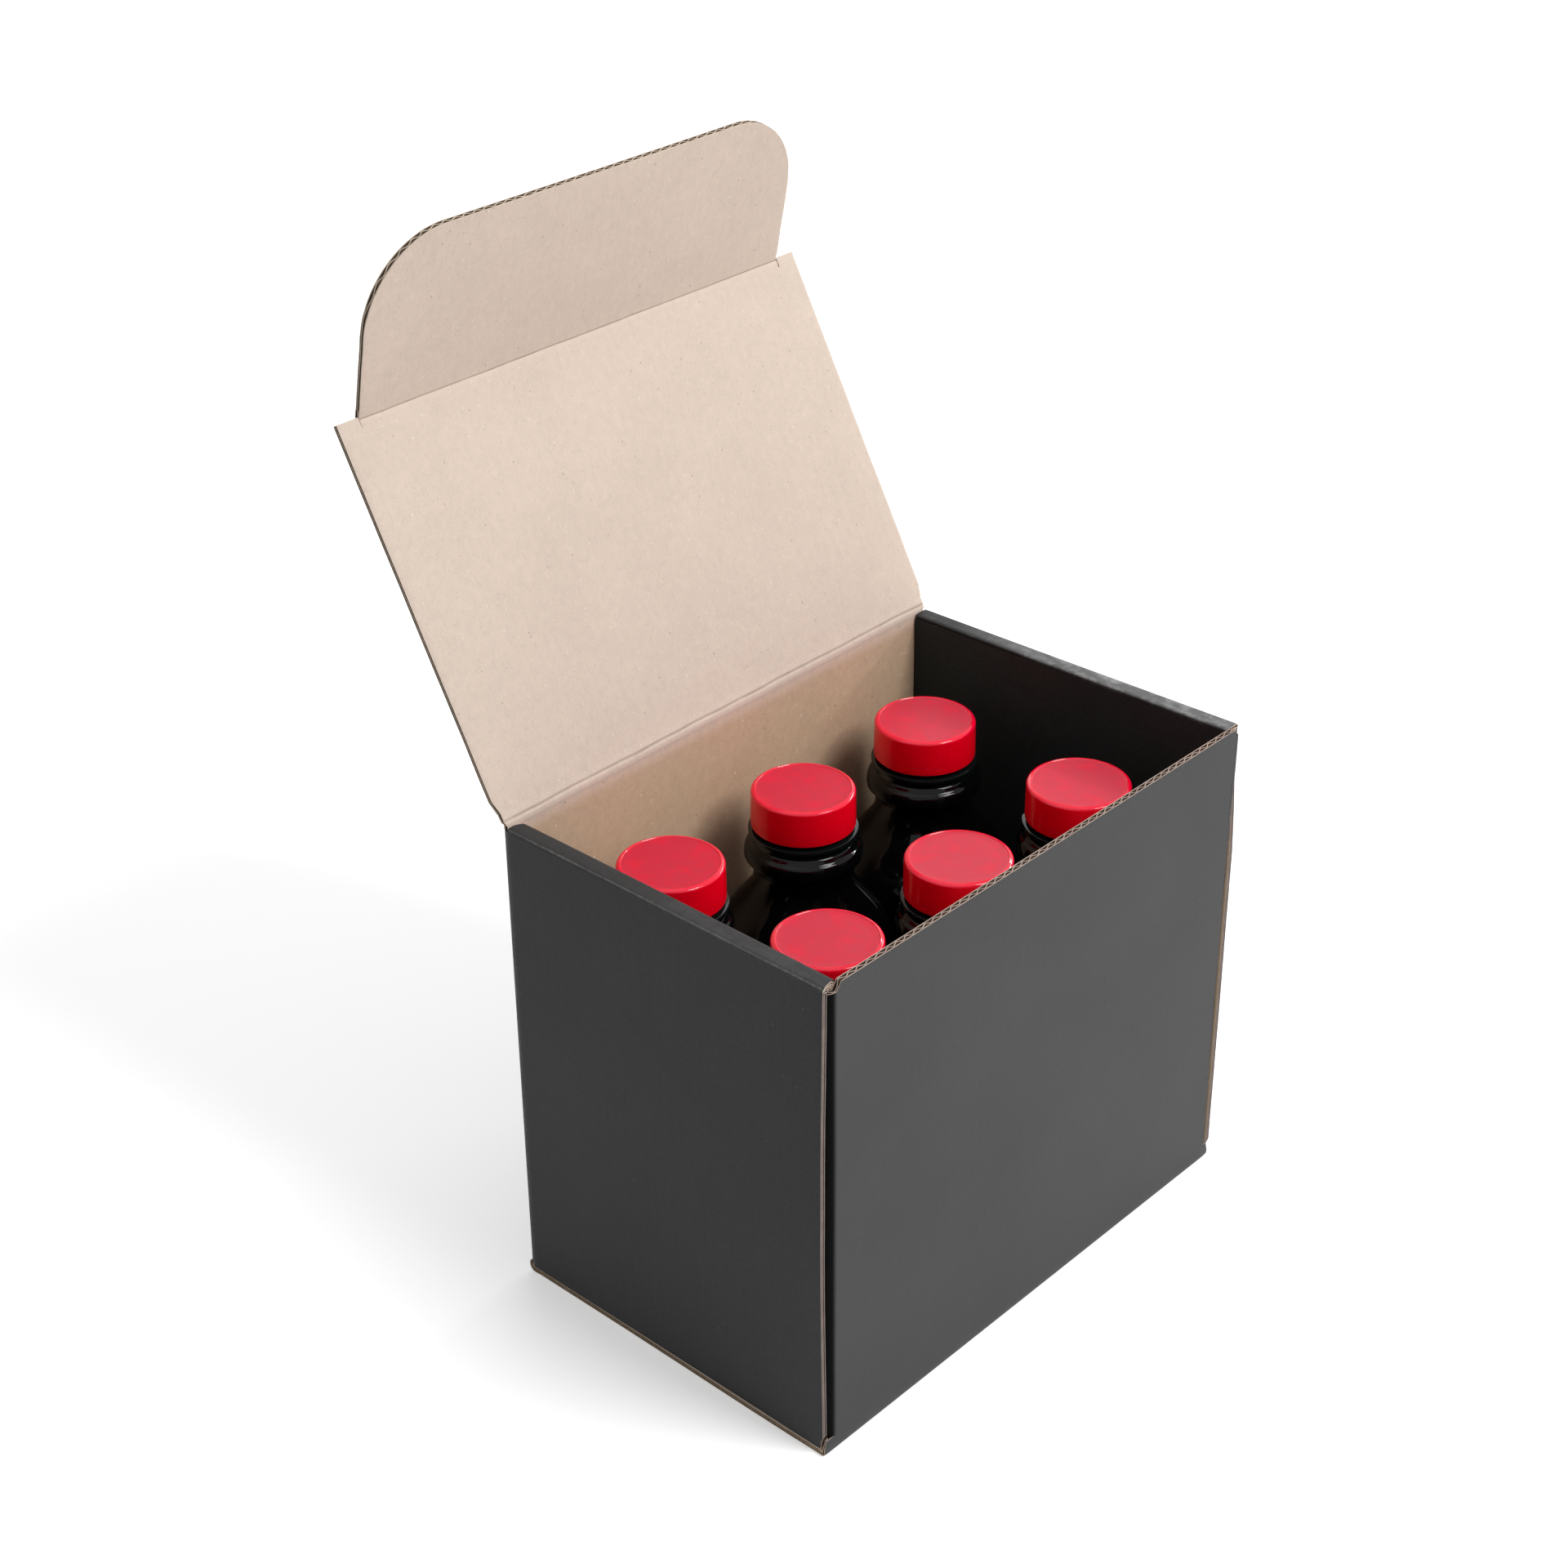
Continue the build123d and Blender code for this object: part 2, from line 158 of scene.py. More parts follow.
class BottleSizes(bpy.types.PropertyGroup):
    diameter: length("Diameter", 73.0, "Across the body")
    heel: length("Heel radius", 6.0, "Round lower edge of the body")
    base_recess: length("Base recess", 3.0, "Depth of the hollow under the base")
    base_recess_diameter: length("Base recess diameter", 46.0, "Across the hollow under the base")
    body: length("Body", 110.0, "Height of the straight body")
    shoulder: length("Shoulder", 37.0, "Height of the shoulder")
    fullness: length("Shoulder fullness", 20.0, "How far the shoulder goes on upwards before it turns in")
    waist_diameter: length("Waist diameter", 39.8, "Across the narrow place under the bulge")
    waist: length("Waist", 1.0, "Height of the waist")
    bulge_rise: length("Bulge rise", 9.7, "From the waist to the widest place of the bulge")
    bulge_diameter: length("Bulge diameter", 47.0, "Across the bulge")
    bulge_crown: length("Bulge crown", 5.7, "From the widest place of the bulge to the neck")
    neck: length("Neck", 2.7, "Height of the neck under the support ring")
    neck_diameter: length("Neck diameter", 40.6, "Across that neck")
    ring: length("Support ring", 1.8, "Thickness of the support ring")
    ring_diameter: length("Ring diameter", 43.4, "Across the support ring")
    cap_gap: length("Cap gap", 1.6, "Between the support ring and the cap")
    finish_diameter: length("Finish diameter", 36.0, "Across the mouth inside the cap")
    cap_diameter: length("Cap diameter", 41.4, "Across the cap")
    cap_height: length("Cap height", 15.3, "Height of the cap")
    cap_wall: length("Cap wall", 2.4, "Thickness of the cap's side")
    cap_shoulder: length("Cap shoulder", 1.35, "Radius round the cap's top edge")
    cap_recess: length("Cap recess", 0.5, "Depth of the disc inside the cap's rim")
    band: length("Tamper band", 3.4, "Height of the band at the bottom of the cap")
    turns: IntProperty(name="Segments", description="Faces round each bottle and cap", default=112, min=24)


class Finishes(bpy.types.PropertyGroup):
    print_ink: colour("Print", (0.0425, 0.0425, 0.0435), "Black printed face of the board")
    # Kraft and Kraft inside are lit and shaded copies of one kraft: the lid's is paler as painted light, not
    # bleached by the air, and the inside one is darker and warmer as painted shade and bounce light.
    kraft: colour("Kraft", (0.640, 0.532, 0.450), "Bare face of the lid and flap, which the air has bleached")
    kraft_inside: colour("Kraft inside", (0.610, 0.445, 0.295), "Bare face of the board inside the carton")
    # Print of the sides and Print inside are darker copies of the print ink: painted shade for the sides, the
    # back and the left strip, and for the inner sides, which are also greener.
    print_inside: colour("Print inside", (0.023, 0.030, 0.031), "Printed face that is turned into the carton")
    print_sides: colour("Print of the sides", (0.035, 0.035, 0.036), "Black face of the sides and back")
    fluting: colour("Fluting", (0.11, 0.075, 0.055), "Wavy sheet inside the board, in the shade of its holes")
    open_fluting: colour("Open fluting", (0.36, 0.25, 0.20), "Wavy sheet where the cut lies along it")
    # Lid fluting and Cut edge are paler copies of the rim's fluting and edge: painted light, set for the
    # dimly lit edges of the lid and flap.
    lid_fluting: colour("Lid fluting", (0.16, 0.115, 0.085), "Wavy sheet at the edges of the lid and flap")
    rim_edge: colour("Rim edge", (0.42, 0.325, 0.275), "Cut edges of the sheets at the front rim")
    # Ledge is a paler copy of the rim's cut edge: painted light on the bottom edge, which lies in the shade
    # of the sides.
    ledge: colour("Ledge", (0.66, 0.50, 0.345), "Cut edge round the bottom")
    cut_edge: colour("Cut edge", (0.66, 0.54, 0.43), "Cut edges of the sheets of the lid")
    rubbed_edge: colour("Rubbed edge", (0.235, 0.21, 0.195), "Cut edges of the sides, grey with ink dust")
    drink: colour("Drink", (0.0015, 0.0015, 0.002), "Bottle filled with black drink")
    ring: colour("Neck plastic", (0.004, 0.006, 0.006), "Clear plastic of the neck and support ring")
    cap: colour("Cap", (0.90, 0.0, 0.034), "Plastic of the caps")
    floor: colour("Floor", (0.97, 0.97, 0.97), "Studio floor")


class StudioSettings(bpy.types.PropertyGroup):
    sky: FloatProperty(name="Sky", description="Strength of the light from all round", default=0.40, min=0.0)
    key: power("Key", 37.0, "Power of the large lamp in front")
    side: power("Side", 15.0, "Power of the strip lamp on the right")
    rim: power("Rim", 5.0, "Power of the lamp behind on the right")
    top: power("Top", 4.0, "Power of the lamp overhead")


# Shader maths


class Wire:
    """A socket of a material that can be used in a Python expression."""

    def __init__(self, mix, socket):
        self.mix = mix
        self.socket = socket

    def __add__(self, other):
        return self.mix.sum("ADD", self, other)

    def __sub__(self, other):
        return self.mix.sum("SUBTRACT", self, other)

    def __rsub__(self, other):
        return self.mix.sum("SUBTRACT", other, self)

    def __mul__(self, other):
        return self.mix.sum("MULTIPLY", self, other)

    def __abs__(self):
        return self.mix.sum("ABSOLUTE", self)

    __radd__ = __add__
    __rmul__ = __mul__


class Recipe:
    """A material, or a world, and the nodes that mix it."""

    def __init__(self, name, kind="materials", place="Object"):
        self.made = getattr(bpy.data, kind).new(name)
        self.made.use_nodes = True
        self.tree = self.made.node_tree
        self.tree.nodes.clear()
        self.place = self.node("ShaderNodeTexCoord", out=place)

    def node(self, kind, settings=None, out=0, **inputs):
        """Any node. Its inputs are given by name, or by number as i0, i1 and so on."""
        made = self.tree.nodes.new(kind)
        for key, value in (settings or {}).items():
            setattr(made, key, value)
        for key, value in inputs.items():
            socket = made.inputs[int(key[1:]) if key[1:].isdigit() else key.replace("_", " ")]
            if isinstance(value, Wire):
                self.tree.links.new(value.socket, socket)
            else:
                socket.default_value = (*value, 1.0) if socket.type == "RGBA" else value
        return Wire(self, made.outputs[out]) if made.outputs else None

    def sum(self, operation, *values):
        inputs = {f"i{index}": value for index, value in enumerate(values)}
        return self.node("ShaderNodeMath", {"operation": operation}, **inputs)

    def ramp(self, value, low, high):
        """Smooth step from 0 at low to 1 at high."""
        settings = {"interpolation_type": "SMOOTHSTEP", "clamp": True}
        return self.node("ShaderNodeMapRange", settings, Value=value, From_Min=low, From_Max=high)

    def split(self, vector):
        first = self.node("ShaderNodeSeparateXYZ", i0=vector)
        return [Wire(self, output) for output in first.socket.node.outputs]

    def stretched(self, x, y, z):
        """The object's own coordinates, scaled along each axis."""
        return self.node("ShaderNodeVectorMath", {"operation": "MULTIPLY"}, i0=self.place, i1=(x, y, z))

    def noise(self, scale, detail=3.0, rough=0.55, at=None):
        at = at or self.place
        return self.node("ShaderNodeTexNoise", Vector=at, Scale=scale, Detail=detail, Roughness=rough)

    def cells(self, scale, at=None, out="Distance"):
        """Distance to the nearest of many scattered points, or with out="Color" a number for each point."""
        return self.node("ShaderNodeTexVoronoi", {"feature": "F1"}, out, Vector=at or self.place, Scale=scale)

    def blend(self, factor, first, second):
        return self.node("ShaderNodeMix", {"data_type": "RGBA"}, 2, i0=factor, i6=first, i7=second)

    def shade(self, tint, amount):
        """A colour made lighter or darker by a factor round one."""
        return self.node("ShaderNodeVectorMath", {"operation": "SCALE"}, i0=tint, Scale=amount)

    def worn(self):
        """How pale each place is scuffed, and how dark it is painted as shade, from the mesh's own attribute.
        """
        marked = self.node("ShaderNodeAttribute", {"attribute_name": "worn"}, "Fac")
        return self.sum("MAXIMUM", marked, 0.0), self.sum("MAXIMUM", marked * -1.0, 0.0)

    def finish(self, tint, roughness, height=None, strength=1.0, deep=None, **fixed):
        """The material, bumped by a height in millimetres and mixed into a plain black shader where deep is
        1, which is painted shade.
        """
        if height is not None:
            fixed["Normal"] = self.node("ShaderNodeBump", Height=height, Strength=strength, Distance=MM)
        kind = "ShaderNodeBsdfPrincipled"
        shown = self.node(kind, Base_Color=tint, Roughness=roughness, **fixed)
        if deep is not None:
            black = self.node(kind, Base_Color=(0.002, 0.002, 0.002), Specular_IOR_Level=0.02)
            shown = self.node("ShaderNodeMixShader", i0=deep, i1=shown, i2=black)
        return self.end("ShaderNodeOutputMaterial", shown)

    def end(self, kind, shown):
        self.node(kind, Surface=shown)
        return self.made

    def seen(self):
        """1 for rays that see the background: from the camera, by reflection or through something."""
        path = self.node("ShaderNodeLightPath").socket.node
        camera, glossy, through = (
            Wire(self, path.outputs[f"Is {kind} Ray"]) for kind in ("Camera", "Glossy", "Transmission")
        )
        return self.sum("MAXIMUM", camera, self.sum("MAXIMUM", glossy, through))


# Materials


def washboard(mix, across):
    """Faint ridges over the fluting, which runs square to the given axis."""
    pitch = bpy.context.scene.ship_board.pitch
    axis = mix.split(mix.place)[across]
    return mix.sum("SINE", axis * (2 * math.pi / pitch)) * 0.5 + 0.5


def print_finish(name, across, tint, gloss, streaks_and_sheen):
    """Black ink on the outer face: satin, a little mottled, cracked and pale along the folds, and painted
    black where the mesh marks painted shade.

    streaks_and_sheen is how much pale streaking is painted on, more so towards the front: marks of handling
    together with a painted sheen.
    """
    mix = Recipe(name)
    cloud = mix.noise(14.0, 4.0, 0.6)
    fibre = mix.noise(700.0, 3.0, 0.7)
    grain = mix.noise(2600.0, 2.0, 0.6)
    ridge = washboard(mix, across)
    amount = (cloud - 0.5) * 0.5 + (fibre - 0.5) * 0.7 + (grain - 0.5) * 0.5 + ridge * 0.015 + 0.99
    ink = mix.shade(tuple(tint), amount)
    speck = 1.0 - mix.ramp(mix.cells(210.0), 0.05, 0.13)
    ink = mix.blend(speck * mix.ramp(mix.noise(60.0), 0.50, 0.62) * 0.30, ink, (0.12, 0.115, 0.11))
    long_streak = mix.noise(1.0, 4.0, 0.65, mix.stretched(130.0, 38.0, 38.0))
    streak = long_streak * 0.6 + mix.noise(230.0, 3.0, 0.6) * 0.4
    # The pale streaks grow towards the front, partly marks of handling and partly painted sheen.
    ahead = mix.ramp(mix.split(mix.place)[1], 60 * MM, -30 * MM) * 0.75 + 0.25
    ink = mix.blend((mix.ramp(streak, 0.44, 0.60) * 0.75 + 0.25) * ahead * streaks_and_sheen, ink, (0.32, 0.32, 0.32))
    # The first part is scuffing, pale along the folds; the second, deep, is painted shade.
    worn, deep = mix.worn()
    crack = mix.ramp(mix.noise(420.0, 4.0, 0.7), 0.40, 0.62)
    ink = mix.blend(worn * (0.5 + crack * 0.45), ink, (0.20, 0.20, 0.195))
    rough = 0.50 + (fibre - 0.5) * 0.22 + worn * 0.05
    height = fibre * 0.07 + grain * 0.04 + ridge * 0.012 + cloud * 0.10
    return mix.finish(ink, rough, height, 0.55, deep, Specular_IOR_Level=gloss)


def kraft_finish(name, across, tint, top_tint):
    """Bare recycled kraft: warm beige, cloudy, with short fibres, specks and faint flute lines."""
    mix = Recipe(name)
    tint, top_tint = tuple(tint), tuple(top_tint)
    bleached, scuffed = (tuple(min(1.0, part * gain) for part in top_tint) for gain in (1.22, 1.16))
    z = mix.split(mix.place)[2]

    def rising(low, high):
        """Smooth step between two heights, given in millimetres from the carton's rim."""
        return mix.ramp(z, CARTON_HIGH[2] + low * MM, CARTON_HIGH[2] + high * MM)

    # Painted light: towards the rim the inside wall turns to the lid's paler kraft, and at the rim it takes
    # that colour to meet the crease.
    base = mix.blend(rising(-30, -6) * 0.12, tint, top_tint)
    base = mix.blend(rising(-2, 0), base, top_tint)
    base = mix.blend(rising(-7, -2) * rising(4, 0) * 0.5, base, bleached)
    cloud = mix.noise(26.0, 4.0, 0.6)
    mottle = mix.noise(260.0, 3.0, 0.6)
    fibre = mix.noise(1.0, 3.0, 0.7, mix.stretched(820.0, 500.0, 420.0))
    grain = mix.noise(1500.0, 2.0, 0.7)
    ridge = washboard(mix, across)
    broad = (cloud - 0.5) * 0.16 + (mottle - 0.5) * (0.26 if across else 0.15)
    amount = broad + (fibre - 0.5) * 0.15 + (grain - 0.5) * 0.18 + ridge * 0.006 + 0.996
    paper = mix.shade(base, amount)
    plenty = 1.5 if across else 1.0
    longer = mix.stretched(1.0, 1.0, 0.62)
    for scale, reach, rare, strength, shade in (
        (380.0, 0.12, 0.80, 0.36, (0.92, 0.88, 0.80)),
        (560.0, 0.15, 0.90, 0.34, (0.95, 0.92, 0.86)),
        (300.0, 0.10, 0.84, 0.50, (0.24, 0.16, 0.10)),
        (560.0, 0.16, 0.88, 0.35, (0.28, 0.20, 0.13)),
        (820.0, 0.18, 0.86, 0.30, (0.90, 0.84, 0.75)),
        (760.0, 0.18, 0.86, 0.30, (0.30, 0.21, 0.14)),
    ):
        chosen = mix.ramp(mix.split(mix.cells(scale, longer, "Color"))[0], rare, rare + 0.02)
        speck = (1.0 - mix.ramp(mix.cells(scale, longer), reach * 0.5, reach * 1.4)) * chosen
        paper = mix.blend(speck * strength * plenty, paper, shade)
    light, dark = mix.worn()
    paper = mix.blend(light * 0.55, paper, scuffed)
    # Painted shade: where the mesh marks it, as in the grooves of the creases, the kraft is painted dark.
    paper = mix.blend(dark * 0.55, paper, (0.20, 0.130, 0.100))
    rough = 0.86 + (grain - 0.5) * 0.12
    height = fibre * 0.04 + grain * 0.05 + ridge * 0.014 + mottle * 0.04
    return mix.finish(paper, rough, height, 0.7, Specular_IOR_Level=0.22)


def paper_finish(name, tint, depth, low_tint=None):
    """Plain recycled paper, for the wavy sheet and the cut edges; near the ground it may turn to a paler
    colour, which is painted light.
    """
    mix = Recipe(name)
    grain = mix.noise(1500.0, 3.0, 0.7)
    cloud = mix.noise(160.0, 3.0, 0.6)
    paper = tuple(tint)
    if low_tint is not None:
        # Painted light: near the ground the edge takes the paler colour.
        paper = mix.blend(mix.ramp(mix.split(mix.place)[2], 5 * MM, 3 * MM), paper, tuple(low_tint))
    paper = mix.shade(paper, (grain - 0.5) * depth + (cloud - 0.5) * depth + 1.0)
    return mix.finish(paper, 0.9, grain * 0.08, 0.6, Specular_IOR_Level=0.2)


def bottle_finish(name, tint, scale, depth, rough, height, strength, gloss):
    """Clear plastic with the slight waves of blown plastic, over black drink or alone at the neck."""
    mix = Recipe(name)
    wave = mix.noise(scale, 2.0, 0.5)
    shaded = mix.shade(tuple(tint), (wave - 0.5) * depth + 1.0)
    return mix.finish(shaded, rough + wave * 0.03, wave * height, strength, Specular_IOR_Level=gloss)


def cap_finish():
    """Moulded red plastic: a hazy disc inside a glossy bead, and a slit with bridges over the tamper band."""
    mix = Recipe("cap_red_plastic")
    tint = tuple(bpy.context.scene.ship_finish.cap)
    sizes = bpy.context.scene.ship_bottle
    x, y, z = mix.split(mix.place)
    swirl = mix.noise(1.0, 3.0, 0.6, mix.stretched(90.0, 420.0, 60.0))
    cloud = mix.noise(110.0, 4.0, 0.65)
    grain = mix.noise(2400.0, 2.0, 0.5)
    on_top = mix.ramp(z, sizes.cap_height - 1.4 * MM, sizes.cap_height - 1.0 * MM)
    disc = mix.ramp(mix.sum("SQRT", x * x + y * y), 18.9 * MM, 18.2 * MM) * on_top
    bead = mix.ramp(z, sizes.cap_height - 1.7 * MM, sizes.cap_height - 1.3 * MM) * (1.0 - disc)
    smudge = mix.ramp(cloud, 0.42, 0.66) * disc
    # Painted shade: the cap's side is painted darker towards its foot.
    lit = mix.ramp(z, 0.5 * MM, sizes.cap_height - 2 * MM)
    # The side is a brighter copy of the red than the top, with less blue: painted light on the side.
    plastic = mix.blend(on_top, (tint[0] * 1.08, 0.0, tint[2] * 0.4), tint)
    plastic = mix.shade(plastic, (swirl - 0.5) * 0.10 - disc * 0.10 + lit * 0.14 + 0.86)
    plastic = mix.blend(disc * 0.70 - smudge * 0.30, plastic, (0.50, 0.020, 0.050))
    bridge = mix.ramp(mix.sum("SINE", mix.sum("ARCTAN2", y, x) * 14.0), 0.70, 0.90)
    # Painted shade: the slit over the tamper band is painted dark between its bridges.
    slit = 1.0 - mix.ramp(abs(z - sizes.band), 0.08 * MM, 0.30 * MM)
    plastic = mix.blend(slit * (1.0 - bridge) * 0.25, plastic, (tint[0] * 0.25, 0.0, tint[2] * 0.2))
    return mix.finish(
        plastic,
        0.13 + disc * 0.27 + (cloud - 0.5) * 0.06,
        swirl * 0.03 * disc + grain * 0.01,
        0.5,
        Subsurface_Weight=0.45,
        Subsurface_Radius=(0.009, 0.001, 0.001),
        Specular_IOR_Level=0.22,
        Coat_Weight=bead * 0.45,
        Coat_Roughness=0.06,
    )


def floor_finish():
    """Pale table that is seen a little lighter than it lights the object."""
    mix = Recipe("studio_floor")
    cloud = mix.noise(2.0, 2.0, 0.5)
    tint = mix.shade(tuple(bpy.context.scene.ship_finish.floor), (cloud - 0.5) * 0.01 + 1.0)
    glow = mix.shade((1.0, 1.0, 1.0), mix.seen())
    return mix.finish(tint, 0.9, Specular_IOR_Level=0.1, Emission_Color=glow, Emission_Strength=0.36)


def finish_named(name, make, *details):
    return bpy.data.materials.get(name) or make(name, *details)


def board_finishes(across, printed="outside", edge="cut_edge"):
    """The board's four finishes. printed is outside, inside, or left or right for the strip of that side."""
    tints = bpy.context.scene.ship_finish
    inks = {
        # The sides, the back and the left strip take the darker ink, and the inner sides the darkest one:
        # painted shade.
        "outside": (tints.print_sides, 0.12, 0.0) if across else (tints.print_ink, 0.20, 0.0),
        "inside": (tints.print_inside, 0.12, 0.0),
        "left": (tints.print_sides, 0.12, 0.06),
        # The right strip keeps the lighter ink, with pale streaks that are partly painted sheen.
        "right": (tints.print_ink, 0.30, 0.70),
    }
    # Inside the carton the board takes the darker, warmer kraft, which is painted shade and bounce light.
    kraft = tints.kraft_inside if across else tints.kraft
    wavy, low_edge = "open_fluting" if across else "lid_fluting", None
    if edge == "rim_edge":
        wavy, low_edge = "fluting", tints.ledge
    return [
        finish_named(f"board_print_{printed}_{'xy'[across]}", print_finish, across, *inks[printed]),
        finish_named(f"board_kraft_{'xy'[across]}", kraft_finish, across, kraft, tints.kraft),
        finish_named("board_" + wavy, paper_finish, getattr(tints, wavy), 0.5),
        finish_named("board_" + edge, paper_finish, getattr(tints, edge), 0.8, low_edge),
    ]


# Folded board


# Places that count as one, and the rows of points beside a fold and beside an outer edge
SAME, CLOSE = 1e-9, 1e-7
BESIDE_FOLD = (1.2 * MM, 3.5 * MM)
BESIDE_EDGE = (0.5 * MM, 1.2 * MM, 2.5 * MM)
# How far the pinch and the shaky cut reach in from an outer edge
PINCH_REACH, SHAKE_REACH = 1.3 * MM, 2.2 * MM
# Length of the face sheets' faces, and air between a wave's crest and a face sheet
FACE_STEP, CREST_GAP = 14 * MM, 0.10 * MM


class Fold:
    """A line of board seen from its end, at the middle of its thickness, with rounded folds.

    The printed face is on the left of the line's travel, or on its right if outward is -1.
    """

    def __init__(self, corners, radii, outward=1, spacing=16 * MM, arc_steps=7):
        corners = [np.array(corner, float) for corner in corners]
        points, self.folds = [corners[0]], []
        for before, corner, after, radius in zip(corners, corners[1:], corners[2:], radii):
            came = (corner - before) / np.linalg.norm(corner - before)
            goes = (after - corner) / np.linalg.norm(after - corner)
            turn = math.atan2(came[0] * goes[1] - came[1] * goes[0], float(came @ goes))
            reach = radius * math.tan(abs(turn) / 2)
            start = corner - came * reach
            centre = start + np.array([-came[1], came[0]]) * math.copysign(1.0, turn) * radius
            self.straight(points, start, spacing, True)
            a, b = start - centre
            for step in range(1, arc_steps + 1):
                cos, sin = math.cos(turn * step / arc_steps), math.sin(turn * step / arc_steps)
                points.append(centre + np.array([a * cos - b * sin, a * sin + b * cos]))
            self.folds.append((len(points) - 1 - arc_steps, len(points) - 1))
        self.straight(points, corners[-1], spacing, False)
        self.points = np.array(points)
        steps = np.diff(self.points, axis=0)
        self.at = np.concatenate([[0.0], np.cumsum(np.linalg.norm(steps, axis=1))])
        along = np.gradient(self.points, self.at, axis=0)
        for first, last in self.folds:
            along[first] = steps[first - 1] / np.linalg.norm(steps[first - 1])
            if last < len(steps):
                along[last] = steps[last] / np.linalg.norm(steps[last])
        along /= np.linalg.norm(along, axis=1)[:, None]
        self.normals = np.stack([-along[:, 1], along[:, 0]], axis=1) * outward
        self.length = self.at[-1]
        self.fold_places = [(self.at[first] + self.at[last]) / 2 for first, last in self.folds]

    def straight(self, points, end, spacing, fold_next):
        """Adds points up to a fold or an end, closer together beside folds."""
        start = points[-1]
        reach = np.linalg.norm(end - start)
        if reach < SAME:
            return
        places = set(np.linspace(0, reach, max(2, int(reach / spacing) + 1))[1:])
        for step in BESIDE_FOLD:
            if len(points) > 1 and reach > 3 * step:
                places.add(step)
            if fold_next and reach > 3 * step:
                places.add(reach - step)
        direction = (end - start) / reach
        points.extend(start + direction * place for place in sorted(places))

    def shift(self, place, offset):
        """Points at the given lengths along the line, moved square to it."""
        a, b = (np.interp(place, self.at, self.points[:, axis]) for axis in (0, 1))
        square_a, square_b = (np.interp(place, self.at, self.normals[:, axis]) for axis in (0, 1))
        size = np.hypot(square_a, square_b)
        return a + square_a / size * offset, b + square_b / size * offset

    def wear(self, place, width=1.5 * MM):
        """How much the face is scuffed at each length along the line: 1 on a fold."""
        worn = np.zeros_like(place)
        for fold in self.fold_places:
            worn = np.maximum(worn, bump(place - fold, width))
        return worn


def part_way(first, second, t):
    return tuple(a + (b - a) * t for a, b in zip(first, second))


def refined(stations, step):
    """Stations (place, start, end) with more put between them, at most a step apart."""
    result = [stations[0]]
    for first, second in zip(stations, stations[1:]):
        count = max(1, int(math.ceil((second[0] - first[0]) / step - 1e-6)))
        result += [part_way(first, second, index / count) for index in range(1, count + 1)]
    return result


def with_stations_at(stations, places):
    """Adds stations at the given places, between those that are there."""
    result = list(stations)
    for place in places:
        for first, second in zip(stations, stations[1:]):
            if first[0] + CLOSE < place < second[0] - CLOSE:
                t = (place - first[0]) / (second[0] - first[0])
                result.append((place, *part_way(first, second, t)[1:]))
                break
    return sorted(result, key=lambda station: station[0])


def mirrored(outline):
    """An outline from the middle outwards, on both sides."""
    return [(-u, start, end) for u, start, end in reversed(outline)] + outline


def quarter(steps):
    """Sine and cosine at each step of a quarter turn."""
    turns = [math.pi / 2 * step / steps for step in range(1, steps + 1)]
    return [(math.sin(turn), math.cos(turn)) for turn in turns]


def smooth(value):
    """Smooth step from 0 to 1 as the value goes from 0 to 1."""
    value = np.clip(value, 0, 1)
    return value * value * (3 - 2 * value)


def bump(distance, width):
    """A soft bump: 1 at no distance, and nearly 0 from two widths on."""
    return np.exp(-((distance / width) ** 2))


def tremor(place, seed):
    """A small uneven wave between -1 and 1, the same each time."""
    waves = ((310.0, 1.7, 0.45), (760.0, 3.1, 0.33), (1490.0, 5.3, 0.22))
    return sum(np.sin(place * rate + seed * start) * size for rate, start, size in waves)


